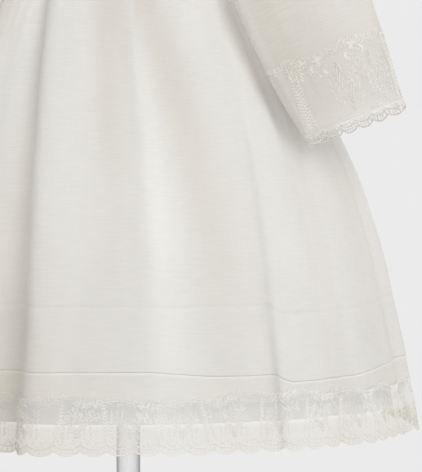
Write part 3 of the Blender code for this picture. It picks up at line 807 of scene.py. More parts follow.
def cloth_material(name, colour, light, thread, sheen, clear=0.0, sheer=0.0):
    """A thin woven cloth with slubs.

    clear is the share of light that goes through its threads, and sheer the share of the
    cloth that is open between them.
    """
    look = Look(name)
    weft = look.ramp(look.noise(17, 1.8, detail=3.0, roughness=0.55), low=0.38, high=0.76)
    warp = look.ramp(look.noise(1.4, 50, detail=3.0, roughness=0.6), low=0.52, high=0.76)
    weft, warp = look.math("MULTIPLY", weft, WEFT_SLUB), look.math("MULTIPLY", warp, WARP_SLUB)
    slub = look.math("ADD", weft, warp)
    cloud = look.ramp(look.noise(45, 60), low=0.35, high=0.65)
    low = look.mix(cloud, tuple(c * CLOUD_TONE for c in colour), colour)
    # The cloth's colour, with its painted shade and painted light.
    body = look.with_painted_shade(look.mix(slub, low, light))
    place = look.flat(thread / WAVE_BAND, thread / WAVE_BAND)
    weave = look.math("MULTIPLY", look.bands(place, "X", 0.6), look.bands(place, "Y", 0.6))
    height = look.math("ADD", look.math("MULTIPLY", weave, WEAVE_HEIGHT), slub)
    values = {
        "Base Color": body,
        "Normal": look.bump(height, distance=0.12, strength=0.6),
        "Roughness": look.ramp(slub, 0, 1, start=0.88, end=0.78),
        "Sheen Weight": sheen,
        "Sheen Roughness": 0.45,
        "Specular IOR Level": 0.25,
    }
    look.fill(look.shader, values)
    shader = look.shader.outputs[0]
    if clear:
        through = look.add("BsdfTranslucent", {"Color": body}).outputs[0]
        shader = look.blend(clear, shader, through)
    if sheer:
        opened = look.ramp(slub, 0, 1, sheer * 1.1, sheer * 0.9)
        shader = look.blend(opened, shader, look.add("BsdfTransparent", {}).outputs[0])
    look.surface(shader)
    return look.material


def net_material(name, colour, cell, thread):
    """A fine net: threads round small open cells."""
    look = Look(name)
    values = {"Vector": look.flat(cell, cell), "Scale": 1.0, "Randomness": 0.35}
    cells = look.add("TexVoronoi", values, feature="DISTANCE_TO_EDGE")
    solid = look.math("LESS_THAN", cells.outputs["Distance"], thread / cell / 2)
    values = {
        # With painted shade and painted light.
        "Base Color": look.with_painted_shade(colour),
        "Roughness": look.ramp(look.noise(3, 3), 0.3, 0.7, start=0.7, end=0.9),
        "Specular IOR Level": 0.2,
    }
    look.fill(look.shader, values)
    opened = look.add("BsdfTransparent", {}).outputs[0]
    look.surface(look.blend(solid, opened, look.shader.outputs[0]))
    return look.material


def thread_material(name, colour, light):
    """Embroidery thread: fine stitches side by side, slightly silky."""
    look = Look(name)
    stitches = look.bands(look.flat(STITCH_BAND / WAVE_BAND, 10), "X", distortion=1.0)
    values = {
        # With painted shade and painted light.
        "Base Color": look.with_painted_shade(look.mix(stitches, colour, light)),
        "Normal": look.bump(stitches, distance=0.15, strength=0.7),
        "Roughness": look.ramp(look.noise(2, 2), 0.3, 0.7, start=0.5, end=0.7),
        "Sheen Weight": 0.2,
    }
    look.fill(look.shader, values)
    return look.material


def hard_material(name, colour, rough, mottle=0.02, coat=0.0):
    """Smooth plastic, lacquer or shell with a little unevenness."""
    look = Look(name)
    spots = look.noise(12, 12, detail=4.0)
    values = {
        "Base Color": look.mix(spots, tuple(c * (1 - mottle) for c in colour), colour),
        "Roughness": look.ramp(spots, 0.3, 0.7, rough * 0.85, rough * 1.15),
        "Coat Weight": coat,
    }
    look.fill(look.shader, values)
    return look.material


def acrylic_material():
    """Clear acrylic, with painted shade towards the rod's sides, where it turns from view."""
    look = Look("clear_acrylic_look")
    facing = look.add("LayerWeight", {"Blend": 0.5}).outputs["Facing"]
    ramp = look.add("ValToRGB", {"Fac": facing})
    elements = ramp.color_ramp.elements
    for (place, grey, blue), old in zip((ROD_PAINTED_SHADE[0], ROD_PAINTED_SHADE[-1]), list(elements)):
        old.position = place
        old.color = (grey, grey, blue, 1)
    for place, grey, blue in ROD_PAINTED_SHADE[1:-1]:
        elements.new(place).color = (grey, grey, blue, 1)
    values = {
        "Base Color": ramp.outputs["Color"],
        "Transmission Weight": 1.0,
        "IOR": 1.49,
        "Roughness": look.ramp(look.noise(30, 30), 0.3, 0.7, start=0.02, end=0.05),
    }
    look.fill(look.shader, values)
    return look.material


IVORY = (0.862, 0.847, 0.815)
IVORY_LIGHT = (0.906, 0.893, 0.864)
LAWN = (0.93, 0.917, 0.882)
NET_TONE = (0.89, 0.878, 0.85)
# The hem's net is coloured darker than the cuffs', as painted shade.
HEM_NET_SHADED_COLOUR = (0.793, 0.78, 0.748)
THREAD_DEEP = (0.862, 0.849, 0.818)
THREAD_LIGHT = (0.912, 0.9, 0.87)
FORM_GREY = (0.80, 0.78, 0.75)
FORM_LIGHT = (0.83, 0.81, 0.78)
VOILE = cloth_material("voile_look", IVORY, IVORY_LIGHT, thread=0.45, sheen=0.2, clear=0.22)
LINING_LOOK = cloth_material("lining_look", LAWN, IVORY_LIGHT, thread=0.35, sheen=0.1, clear=0.12)
SLEEVE_VOILE = cloth_material(
    "sleeve_look", IVORY, IVORY_LIGHT, thread=0.45, sheen=0.2, clear=0.36, sheer=0.27
)
NET = net_material("net_look", NET_TONE, cell=0.9, thread=0.145)
HEM_NET = net_material("hem_net_look", HEM_NET_SHADED_COLOUR, cell=0.9, thread=0.315)
THREAD = thread_material("thread_look", THREAD_DEEP, THREAD_LIGHT)
JERSEY = cloth_material("form_cover_look", FORM_GREY, FORM_LIGHT, thread=0.8, sheen=0.15)
CAP = hard_material("cap_look", (0.75, 0.74, 0.72), rough=0.35)
BASE = hard_material("base_look", (0.86, 0.86, 0.86), rough=0.22, mottle=0.01, coat=0.4)
SHELL = hard_material("shell_button_look", (0.86, 0.83, 0.78), rough=0.25, mottle=0.12, coat=0.3)
ACRYLIC = acrylic_material()
FLOOR = hard_material("floor_look", (FLOOR_TONE, FLOOR_TONE, FLOOR_TONE), rough=0.9, mottle=0.0)
FLOOR.node_tree.nodes["Principled BSDF"].inputs["Specular IOR Level"].default_value = 0.0


# Meshes.


def make_object(name, points, faces, flat, material):
    """A named object from points in millimetres, faces and each point's flat coordinates."""
    mesh = bpy.data.meshes.new(name)
    mesh.from_pydata((np.asarray(points) * MM).tolist(), [], faces)
    mesh.materials.append(material)
    layer = mesh.uv_layers.new(name="flat")
    corners = np.empty(len(mesh.loops), dtype=int)
    mesh.loops.foreach_get("vertex_index", corners)
    layer.data.foreach_set("uv", np.asarray(flat, float)[corners].reshape(-1))
    mesh.shade_smooth()
    made = bpy.data.objects.new(name, mesh)
    bpy.context.scene.collection.objects.link(made)
    return made


def add_painted_shade(piece, deep):
    """Gives each point of a piece its painted shade number, which the cloth materials read."""
    layer = piece.data.attributes.new("deep", "FLOAT", "POINT")
    layer.data.foreach_set("value", np.asarray(deep, float).reshape(-1))


def grid_faces(rows, columns, closed=False, flip=False):
    """Quads over a grid of points, rows by columns, which may close on itself."""
    r, c = np.meshgrid(np.arange(rows - 1), np.arange(columns if closed else columns - 1))
    r, c = r.T.reshape(-1), c.T.reshape(-1)
    nxt = (c + 1) % columns
    quads = np.stack(
        [r * columns + c, r * columns + nxt, (r + 1) * columns + nxt, (r + 1) * columns + c],
        axis=1,
    )
    return (quads[:, ::-1] if flip else quads).tolist()


def capped_faces(rows, sides):
    """Quads round a closed grid of points, with a face over each end."""
    faces = grid_faces(rows, sides, closed=True)
    faces.append(tuple(range(sides - 1, -1, -1)))
    faces.append(tuple(range((rows - 1) * sides, rows * sides)))
    return faces


def grid_object(name, grid, flat, material, closed=False, flip=False):
    """A sheet from a grid of points. Its front is outwards where rows rise and columns run on."""
    rows, columns = grid.shape[:2]
    faces = grid_faces(rows, columns, closed, flip)
    return make_object(name, grid.reshape(-1, 3), faces, np.reshape(flat, (-1, 2)), material)


def settle(piece, slot, *nodes):
    """Rides a piece on the dress and hides the nodes that it stands for. Its slot is not used."""
    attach(piece, "root")
    if nodes:
        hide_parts(*nodes)
    return piece


def band_object(name, surface, rows, turns, flat_width, material, more_painted_shade=((0.0, 0.0),)):
    """A sheet over rows of (height, lift) and columns of turns on a surface of the skirt.

    The last argument adds painted shade to the skirt's as (height, levels), painted light below 0.
    """
    heights = np.array([row[0] for row in rows])
    lifts = np.array([row[1] for row in rows])
    columns, levels = np.meshgrid(turns, heights)
    added = np.interp(levels, *zip(*more_painted_shade))
    if surface is skirt_outer:
        levels = levels - tuck_drop(columns, levels)
    points, out = with_normals(surface, columns, levels)
    points = points + out * lifts[:, None, None]
    run = lengths_along(np.column_stack([heights, lifts]))
    wide = (turns - turns[0]) / (turns[-1] - turns[0]) * flat_width
    flat = np.stack(np.meshgrid(wide, run), axis=-1)
    made = grid_object(name, points, flat, material)
    add_painted_shade(made, skirt_painted_shade(columns, levels) + added / DEEPEST_PAINTED_SHADE)
    return made


SEAM_TURN = 90 - SIDE_SEAM_HALF_GAP
SKIRT_HALVES = (
    ("front", -SEAM_TURN, SEAM_TURN),
    ("back", 180 - SEAM_TURN, 180 + SEAM_TURN),
)


def measured(points_at, first, last):
    """The length of a line from the first turn to the last, and the turns at lengths along it."""
    fine = np.linspace(first, last, LINE_STEPS)
    lengths = lengths_along(points_at(fine))
    return lengths[-1], lambda along: np.interp(along, lengths, fine)


# The skirt's cloth. Lifts stand off its surface, outwards, and painted shade is given as
# (height, levels), with painted light below 0.
LINING_HEM = 27.0
SKIRT_COLUMNS = 300
TUCK_FLARE = 0.2
STITCH_PULL = 0.5
STITCH_PULL_REACH = 1.6
TUCK_RETURN_LIFT = -0.9
BAND_LIFT = -0.5
BAND_HIDDEN_LIFT = -1.35
# Painted shade on the band, with painted light just below the tuck's edge; painted shade on the hem
# net below the lining's hem and painted light above it; painted shade on the hem's threads.
BAND_PAINTED_SHADE = ((LACE_TOP, 4.0), (TUCK_FOLD - 3, 4.0), (TUCK_FOLD - 1, -12.0))
HEM_NET_PAINTED_SHADE = ((LINING_HEM - 3, 15.0), (LINING_HEM + 3, -13.0))
HEM_THREAD_PAINTED_SHADE = ((LINING_HEM - 6, 6.0), (LINING_HEM + 4, 3.0), (LACE_TOP, 2.0))
HEM_FLAT = 860.0


def tuck_flare(above_hem):
    """How far the doubled cloth of the tuck stands off, most at its folded edge."""
    down = grown(above_hem, TUCK_STITCH, TUCK_FOLD)
    pulled_in = STITCH_PULL * bell((above_hem - TUCK_STITCH) / STITCH_PULL_REACH)
    return TUCK_FLARE * down**1.5 - pulled_in


def skirt_rows():
    """(height, lift) rows up the tuck's hidden return and on up the skirt to the waist."""
    returning = np.linspace(TUCK_STITCH - 3, TUCK_FOLD + 4, 12)
    rows = [(h, TUCK_RETURN_LIFT + tuck_flare(h)) for h in returning]
    edge = tuck_flare(TUCK_FOLD)
    rows += [(TUCK_FOLD + 1.0, edge - 0.8), (TUCK_FOLD + 0.3, edge - 0.65)]
    rows += [(TUCK_FOLD, edge - 0.35), (TUCK_FOLD + 0.4, edge - 0.08)]
    rows += [(h, tuck_flare(h)) for h in np.linspace(TUCK_FOLD + 1.6, TUCK_STITCH - 4, 16)]
    rows += [(h, tuck_flare(h)) for h in np.linspace(TUCK_STITCH - 2.5, TUCK_STITCH + 2.5, 6)]
    rows += [(h, 0.0) for h in np.linspace(TUCK_STITCH + 5, SEAM - GAP, 84)]
    return rows


def band_rows():
    """(height, lift) rows of the band below the tuck, with its narrow rolled hem."""
    rows = [(LACE_TOP + 6, BAND_LIFT - 0.5), (LACE_TOP + 2, BAND_LIFT - 0.5)]
    rows += [(LACE_TOP + 0.3, BAND_LIFT - 0.3), (LACE_TOP + 0.3, BAND_LIFT)]
    heights = np.linspace(LACE_TOP + 2, TUCK_STITCH - 8, 40)
    rows += [(h, BAND_HIDDEN_LIFT if h > TUCK_FOLD + 2 else BAND_LIFT) for h in heights]
    return rows


def make_skirt_half(side, first, last):
    """Half of the skirt down to its tuck, with the tuck's stitches."""
    turns = np.linspace(first, last, SKIRT_COLUMNS)
    skirt = band_object(f"skirt_cloth_{side}", skirt_outer, skirt_rows(), turns, HEM_FLAT, VOILE)
    settle(skirt, "voile", f"skirt_{side}")
    total, turns_at = measured(lambda fine: skirt_points(fine, TUCK_STITCH), first, last)

    def on_tuck(along, up, lift):
        places = turns_at(along)
        levels = TUCK_STITCH + up - tuck_drop(places, TUCK_STITCH + up)
        points, out = with_normals(skirt_outer, places, levels)
        return points + out * (lift + tuck_flare(TUCK_STITCH + up) + 0.1)[:, None]

    stitches = stitch_row(f"tuck_stitches_{side}", on_tuck, total)
    settle(stitches, "voile")


def make_band_half(side, first, last):
    """Half of the band below the tuck."""
    name, turns = f"hem_band_cloth_{side}", np.linspace(first, last, SKIRT_COLUMNS)
    band = band_object(name, skirt_outer, band_rows(), turns, HEM_FLAT, VOILE, BAND_PAINTED_SHADE)
    settle(band, "voile", f"hem_band_{side}")


LINING_FLAT = 740.0
LINING_TOP = 473.0
LINING_COLUMNS = 180


def make_lining():
    """The lining skirt with its turned hem, front and back."""
    rows = [(LINING_HEM + 16, -0.8), (LINING_HEM + 4, -0.8), (LINING_HEM + 0.3, -0.7)]
    rows += [(LINING_HEM, -0.35), (LINING_HEM + 0.3, 0.0)]
    rows += [(LINING_HEM + 2 + 2 * i, 0.0) for i in range(8)]
    rows += [(h, 0.0) for h in np.linspace(LINING_HEM + 20, LINING_TOP, 60)]
    for side, first, last in SKIRT_HALVES:
        name, turns = f"lining_cloth_{side}", np.linspace(first, last, LINING_COLUMNS)
        lining = band_object(name, lining_surface, rows, turns, LINING_FLAT, LINING_LOOK)
        settle(lining, "lining", f"lining_{side}")


# Embroidery, drawn flat and then laid on the cloth.

# Bands of short leaves: how wide, how far apart, how far they lean out and how long they are.
Leaves = namedtuple("Leaves", "half_width pitch lean size")
DIAMOND_LEAVES = Leaves(0.5, 2.4, 62, 3.0)
FOOT_LEAVES = Leaves(1.6, 2.6, 48, 3.6)
SIDE_LEAVES = Leaves(2.2, 2.8, 40, 3.8)
SWAG_LEAVES = Leaves(1.8, 3.0, 52, 3.6)
CLUMP_LEAVES = Leaves(8.0, 2.6, 55, 4.8)

# Sprays of leaflets: where they start, their heading and bend, and how much they fall short.
SPRAYS = table(
    "aside foot heading bend short leaf_length leaf_width spread",
    (0, 13, 84, 10, 26, 5.2, 1.5, 40),
    (7, 14, 96, -14, 36, 4.4, 1.4, 42),
)
LEAFLET_PITCH = 3.4
STEM_RADIUS = 0.42
STEM_STEPS = 12
STITCH_LENGTH = 2.0
STITCH_GAP = 1.2
STITCH_RADIUS = 0.22
SWAG_RADIUS = 0.4
LEAF_RISE = 0.45
LEAF_SHAPE = ((0.2, 0.72), (0.5, 1.0), (0.8, 0.62))
LEAF_EDGE_LIFT = 0.08
LEAF_WIDTH_SHARE = 0.3
LEAF_JITTER = 14


class Drawing:
    """Raised threads drawn flat, as points (along, up, lift) in millimetres."""

    def __init__(self):
        self.points, self.faces, self.flat = [], [], []

    def leaf(self, foot, angle, length, width):
        """A leaf of satin stitch from its foot, pointing along an angle in degrees."""
        start = len(self.points)
        onward = np.array([cos(radians(angle)), sin(radians(angle))])
        aside = np.array([-onward[1], onward[0]])
        foot = np.asarray(foot, float)
        self.point(foot, 0.0, 0.0, 0.0)
        for share, half in LEAF_SHAPE:
            for sign, lift in ((-1, LEAF_EDGE_LIFT), (0, 1.0), (1, LEAF_EDGE_LIFT)):
                place = foot + onward * length * share + aside * sign * half * width / 2
                across = sign * half * width / 2
                self.point(place, LEAF_RISE * lift, length * share, across)
        self.point(foot + onward * length, 0.0, length, 0.0)
        for a, b, c in ((0, 1, 2), (0, 2, 3), (10, 8, 7), (10, 9, 8)):
            self.faces.append((start + a, start + b, start + c))
        for row in (1, 4):
            for side in (0, 1):
                a = start + row + side
                self.faces.append((a, a + 3, a + 4, a + 1))
        rim = (0, 3, 6, 9, 10, 7, 4, 1)
        self.faces.append(tuple(start + i for i in rim))

    def point(self, place, lift, along, across):
        self.points.append((place[0], place[1], lift))
        self.flat.append((along, across))

    def cord(self, line, radius, sides=6, closed=False):
        """A round cord along a flat line of points."""
        line = np.asarray(line, float)
        if closed:
            ahead = np.roll(line, -1, axis=0) - np.roll(line, 1, axis=0)
        else:
            ahead = np.gradient(line, axis=0)
        ahead = unit(ahead)
        aside = np.stack([-ahead[:, 1], ahead[:, 0]], axis=1)
        run = lengths_along(line)
        start = len(self.points)
        for place, over, along in zip(line, aside, run):
            for k in range(sides):
                turn = 2 * pi * k / sides
                self.point(
                    place + over * radius * cos(turn), radius * sin(turn), along, k * radius
                )
        count = len(line)
        for i in range(count if closed else count - 1):
            for k in range(sides):
                a, b = start + i * sides + k, start + i * sides + (k + 1) % sides
                c = start + (i + 1) % count * sides + (k + 1) % sides
                d = start + (i + 1) % count * sides + k
                self.faces.append((a, d, c, b))
        if not closed:
            self.faces.append(tuple(start + k for k in range(sides)))
            last = start + (count - 1) * sides
            self.faces.append(tuple(last + k for k in range(sides - 1, -1, -1)))

    def spray(self, foot, angle, length, spray):
        """A curved stem with pairs of leaflets and one at its tip."""
        line, angles = [], []
        place, heading = np.asarray(foot, float), angle
        step = length / STEM_STEPS
        for i in range(STEM_STEPS + 1):
            line.append(place.copy())
            angles.append(heading)
            place = place + step * np.array([cos(radians(heading)), sin(radians(heading))])
            heading += spray.bend / STEM_STEPS
        self.cord(line, STEM_RADIUS, sides=5)
        line = np.array(line)
        pairs = round(length / LEAFLET_PITCH)
        for i in range(pairs):
            share = (i + 0.6) / (pairs + 0.2)
            at = share * STEM_STEPS
            low = min(int(at), STEM_STEPS - 1)
            place = line[low] + (line[low + 1] - line[low]) * (at - low)
            size = 1.0 - 0.45 * abs(share - 0.35)
            for side in (-1, 1):
                turn = angles[low] + side * spray.spread
                self.leaf(place, turn, spray.leaf_length * size, spray.leaf_width * size)
        self.leaf(line[-1], angles[-1], spray.leaf_length * 0.8, spray.leaf_width)


def scallop_edge(along, pitch):
    """How far the lace's edge draws up, most between two scallops."""
    return SCALLOP_DEPTH * (1 - np.abs(np.sin(pi * np.asarray(along) / pitch))) ** SCALLOP_POINT


BORDER_DEPTH = 6.6
CORD = 0.7


# The waves of the lace's top: their heights, how many go along it, and where they start.
SWAG_WAVES = ((2.5, 14, pi / 2), (2.2, 3, 1.0), (1.4, 5, 0.0))
SWAG_DROP = 7.0
DIAMOND_RINGS = (1.0, 0.7, 0.42)
DIAMOND_BOW = 0.16


def lace_top(along, total, depth):
    """How high the lace reaches: swags that rise and fall unevenly."""
    turn = 2 * pi * np.asarray(along) / total
    swags = sum(height * np.sin(waves * turn + start) for height, waves, start in SWAG_WAVES)
    return depth - SWAG_DROP + swags


def draw_border(drawing, length, pitch):
    """The scalloped border: two cords with short bars between them."""
    along = np.linspace(0, length, max(2, round(length / 1.5)))
    edge = scallop_edge(along, pitch)
    drawing.cord(np.column_stack([along, edge + CORD]), CORD)
    drawing.cord(np.column_stack([along, edge + BORDER_DEPTH]), CORD * 0.8)
    bars = round(length / (pitch / 5))
    for i in range(bars):
        at = (i + 0.5) * length / bars
        low = float(scallop_edge(at, pitch))
        drawing.cord([(at, low + CORD), (at + 0.8, low + BORDER_DEPTH)], CORD * 0.6, sides=5)


def scatter(drawing, line, leaves, rng):
    """Short leaves thrown along a band round a line, pointing up along it and outwards."""
    line = np.asarray(line, float)
    run = lengths_along(line)
    count = max(2, round(run[-1] / leaves.pitch))
    rows = max(1, round(leaves.half_width * 2 / (leaves.size * 0.62)))
    for i in range(count):
        at = (i + rng.uniform(0.1, 0.9)) * run[-1] / count
        place = np.array([np.interp(at, run, line[:, k]) for k in (0, 1)])
        ahead = np.array([np.interp(at + 1, run, line[:, k]) for k in (0, 1)]) - place
        heading = np.degrees(atan2(ahead[1], ahead[0]))
        aside = np.array([-ahead[1], ahead[0]]) / max(np.linalg.norm(ahead), 1e-6)
        for j in range(rows):
            off = ((j + 0.5) / rows * 2 - 1) * leaves.half_width + rng.uniform(-0.6, 0.6)
            side = 1 if off > 0 else -1
            angle = heading + side * (leaves.lean + rng.uniform(-LEAF_JITTER, LEAF_JITTER))
            length = leaves.size * rng.uniform(0.75, 1.15)
            drawing.leaf(place + aside * off, angle, length, length * LEAF_WIDTH_SHARE)


def draw_diamond(drawing, middle, wide, tall, rng):
    """Nested pointed rings of cord with leaves between them."""
    for share in DIAMOND_RINGS:
        corners = [(0, tall), (wide, 0), (0, -tall), (-wide, 0)]
        outline = []
        for k in range(4):
            a, b = np.array(corners[k]), np.array(corners[(k + 1) % 4])
            for t in np.linspace(0, 1, 7)[:-1]:
                bow = 1 - DIAMOND_BOW * sin(pi * t)
                outline.append(middle + (a + (b - a) * t) * share * bow)
        drawing.cord(outline, STEM_RADIUS, sides=5, closed=True)
        if share > DIAMOND_RINGS[-1]:
            outline.append(outline[0])
            scatter(drawing, outline, DIAMOND_LEAVES, rng)


def draw_swag(drawing, total, depth, rng):
    """The leafy band along the top of the lace."""
    along = np.linspace(0, total, round(total / 2.5))
    swag = np.column_stack([along, lace_top(along, total, depth) - 4])
    scatter(drawing, swag, SWAG_LEAVES, rng)
    clumps = max(3, round(total / 62))
    for i in range(clumps):
        middle = (i + 0.5 + rng.uniform(-0.2, 0.2)) / clumps * len(swag)
        reach = int(rng.uniform(4, 8))
        part = swag[max(0, int(middle) - reach) : int(middle) + reach]
        scatter(drawing, part - (0, 5), CLUMP_LEAVES, rng)
    drawing.cord(swag, SWAG_RADIUS, sides=5)


def draw_repeat(drawing, start, pitch, tall, rng, kinds, wide):
    """One repeat of the leaf pattern, two scallops long, from the border upwards."""
    width = 2 * pitch
    if "sprays" in kinds:
        lean = rng.uniform(-LEAF_JITTER, LEAF_JITTER)
        stem = start + rng.uniform(0.14, 0.26) * width
        for spray in SPRAYS:
            foot = (stem + spray.aside, spray.foot)
            drawing.spray(foot, spray.heading + lean, tall - spray.short, spray)
    if "diamond" not in kinds:
        return
    shares, heights = (0.0, 0.3, 0.6, 1.0), (10.5, 12.5, 10.5, 10.5)
    fine = np.linspace(0, 1, 24)
    foot = np.column_stack([start + fine * width, smooth(shares, heights, fine)])
    scatter(drawing, foot, FOOT_LEAVES, rng)
    middle = np.array([start + 0.68 * width, tall * 0.46])
    draw_diamond(drawing, middle, width * wide, tall * (0.06 + 0.8 * wide), rng)
    for off in (-width * (wide + 0.04), width * (wide + 0.04)):
        beside = [middle + (off, -tall * 0.22), middle + (off, tall * 0.2)]
        scatter(drawing, beside, SIDE_LEAVES, rng)


def draw_lace(total, pitch, depth, repeats, wide, rng):
    """A whole length of lace. The repeats are pairs of their start and the kinds in them."""
    drawing = Drawing()
    draw_border(drawing, total, pitch)
    for start, kinds in repeats:
        draw_repeat(drawing, start, pitch, depth, rng, kinds, wide)
    draw_swag(drawing, total, depth, rng)
    return drawing


def lay(name, drawing, place, material, flip=False):
    """The drawing as an object, laid on a surface by place(along, up, lift)."""
    points = np.array(drawing.points)
    laid = place(points[:, 0], points[:, 1], points[:, 2])
    faces = [face[::-1] for face in drawing.faces] if flip else drawing.faces
    made = make_object(name, laid, faces, drawing.flat, material)
    made.data.set_sharp_from_angle(angle=radians(60))
    return made


def stitch_row(name, place, total):
    """A row of running stitches along a line on a surface."""
    drawing = Drawing()
    count = int(total / (STITCH_LENGTH + STITCH_GAP))
    for i in range(count):
        start = (i + 0.5) * total / count - STITCH_LENGTH / 2
        line = [(start, 0), (start + STITCH_LENGTH / 2, 0), (start + STITCH_LENGTH, 0)]
        drawing.cord(line, STITCH_RADIUS, sides=5)
    return lay(name, drawing, place, THREAD)


# The kinds of drawing in a repeat of the lace, and how wide its diamonds are, as shares of it.
ALL_KINDS = ("sprays", "diamond")
HEM_DIAMOND = 0.17
CUFF_DIAMOND = 0.27
LACE_DEPTH = 60.0
EMBROIDERY_LIFT = 0.5


# A length of lace: its total, its pitch from scallop to scallop, its depth, how far above its
# edge the net starts, where the net's columns lie, and its rows as shares of the depth.
Lace = namedtuple("Lace", "name total pitch depth net_foot columns rows closed")


def make_lace(lace, drawing, nodes, place, deep, net_look, net_tones, thread_tones, flip):
    """A length of lace: its net, its embroidery, their painted shade, and what it rests on."""
    along, share = np.meshgrid(lace.columns, lace.rows)
    foot = scallop_edge(along, lace.pitch) + lace.net_foot
    up = foot + (lace_top(along, lace.total, lace.depth) - foot) * share
    flat = np.stack([along, up], axis=-1)
    grid = place(along.reshape(-1), up.reshape(-1), np.zeros(along.size))
    grid = grid.reshape(*along.shape, 3)
    part, side = lace.name.split("_")
    net = grid_object(f"{part}_net_{side}", grid, flat, net_look, lace.closed, flip)
    settle(net, "lace", *nodes)
    threads = lay(f"{part}_embroidery_{side}", drawing, place, THREAD, flip)
    drawn = np.array(drawing.points)[:, :2]
    # Each piece gets the painted shade of the cloth under it, and its own added painted shade.
    for piece, flat_points, tones in (
        (net, flat.reshape(-1, 2), net_tones),
        (threads, drawn, thread_tones),
    ):
        added = np.interp(flat_points[:, 1], *zip(*tones))
        add_painted_shade(piece, deep(flat_points[:, 0], flat_points[:, 1]) + added / DEEPEST_PAINTED_SHADE)
    settle(threads, "lace")


def make_hem_lace():
    """The net with its leaf embroidery and scalloped border below the band."""
    rng = np.random.default_rng(5)
    rows = np.concatenate([[0.0, 0.04], np.linspace(0.1, 1, 26)])
    for side, first, last in SKIRT_HALVES:
        total, turns_at = measured(lambda fine: skirt_points(fine, EDGE_LEVEL), first, last)
        pitch = total / HEM_SCALLOPS

        def on_hem(along, up, lift, turns_at=turns_at):
            points, out = with_normals(skirt_outer, turns_at(along), up)
            return points + out * (lift + BAND_LIFT + EMBROIDERY_LIFT)[:, None]

        repeats = [((2 * i + 0.5) * pitch, ALL_KINDS) for i in range(HEM_SCALLOPS // 2)]
        drawing = draw_lace(total, pitch, LACE_DEPTH, repeats, HEM_DIAMOND, rng)
        columns = np.linspace(0, total, HEM_SCALLOPS * NET_STEPS + 1)
        make_lace(
            Lace(f"hem_{side}", total, pitch, LACE_DEPTH, CORD, columns, rows, False),
            drawing,
            [f"hem_lace_{side}"],
            place=on_hem,
            deep=lambda along, up, turns_at=turns_at: skirt_painted_shade(turns_at(along), up),
            net_look=HEM_NET,
            net_tones=HEM_NET_PAINTED_SHADE,
            thread_tones=HEM_THREAD_PAINTED_SHADE,
            flip=False,
        )


# The sleeves.

CUFF_LACE_DEPTH = 88.0
CUFF_REPEATS = (("sprays",), ("diamond",), ("diamond",), ALL_KINDS)
# Painted shade on the cuff lace by its free edge, as (height, levels).
CUFF_LACE_PAINTED_SHADE = ((6.0, 13.0), (9.0, 0.0))


def place_sleeve(side, points):
    """Points of the left sleeve, kept or carried over to the right."""
    return points if side == "left" else to_right(points)


def make_sleeves():
    """Both sleeves, open at the armhole and the cuff."""
    total = SLEEVE_LENGTHS[-1]
    runs = np.concatenate([np.linspace(SLEEVE_END, 40, 8), np.linspace(45, total, 120)])
    arounds = np.linspace(0, 360, SLEEVE_COLUMNS, endpoint=False)
    columns, levels = np.meshgrid(arounds, runs)
    grid = sleeve_surface(columns, levels)
    flat = np.stack([columns / 360 * SLEEVE_ROUND, levels], axis=-1)
    for side in ("left", "right"):
        placed, flip = place_sleeve(side, grid), side == "right"
        sleeve = grid_object(f"sleeve_cloth_{side}", placed, flat, SLEEVE_VOILE, True, flip)
        add_painted_shade(sleeve, sleeve_painted_shade(columns, levels))
        settle(sleeve, "voile", f"sleeve_{side}_front", f"sleeve_{side}_back")


def make_cuff_lace():
    """The lace over each sleeve end, which reaches past the cloth."""
    total, arounds_at = measured(lambda fine: sleeve_points(fine, SLEEVE_LAST - 0.1), 0, 360)
    pitch = total / (2 * CUFF_SCALLOPS)
    repeats = [
        (2 * i * pitch, CUFF_REPEATS[i % len(CUFF_REPEATS)]) for i in range(CUFF_SCALLOPS)
    ]
    rng = np.random.default_rng(8)
    drawing = draw_lace(total, pitch, CUFF_LACE_DEPTH, repeats, CUFF_DIAMOND, rng)
    columns = np.linspace(0, total, CUFF_SCALLOPS * 2 * NET_STEPS + 1)[:-1]
    rows = np.linspace(0, 1, 36)
    for side in ("left", "right"):

        def on_cuff(along, up, lift, side=side):
            points, out = with_normals(sleeve_surface, arounds_at(along), up, (1, 1.5))
            return place_sleeve(side, points + out * (lift + CUFF_LACE_LIFT)[:, None])

        name = f"cuff_{side}"
        make_lace(
            Lace(name, total, pitch, CUFF_LACE_DEPTH, BORDER_DEPTH, columns, rows, True),
            drawing,
            [f"cuff_lace_{side}_front", f"cuff_lace_{side}_back"],
            place=on_cuff,
            deep=lambda along, up: sleeve_painted_shade(arounds_at(along), up),
            net_look=NET,
            net_tones=CUFF_LACE_PAINTED_SHADE,
            thread_tones=CUFF_LACE_PAINTED_SHADE,
            flip=side == "right",
        )


# The bodice.


def bodice_edges(shoulder=8, around_rows=30, side=10):
    """(turn from the centre, share) up a bodice panel's side: side seam, armhole, shoulder."""
    tip, under = share_of(SHOULDER_TIP), share_of(UNDERARM)
    seam = 90 - SHOULDER_SEAM_HALF_GAP
    rows = [(seam, s) for s in np.linspace(GAP / (NECK_POINT - SEAM), under, side)]
    for around in np.linspace(0, 180, around_rows + 1)[1:-1]:
        turn, share = armhole(around)
        rows.append((float(turn), float(share)))
    rows += [(seam, s) for s in np.linspace(tip, 1, shoulder)]
    return rows


def bodice_surface(turns, shares):
    """The bodice's cloth, softly uneven but still at its edges."""
    inside = np.clip(np.minimum(shares, 1 - shares) * 6, 0, 1)
    points = bodice_points(turns, shares)
    return moved_out(points, inside * crinkle(BODICE_CRINKLES, turns, shares))


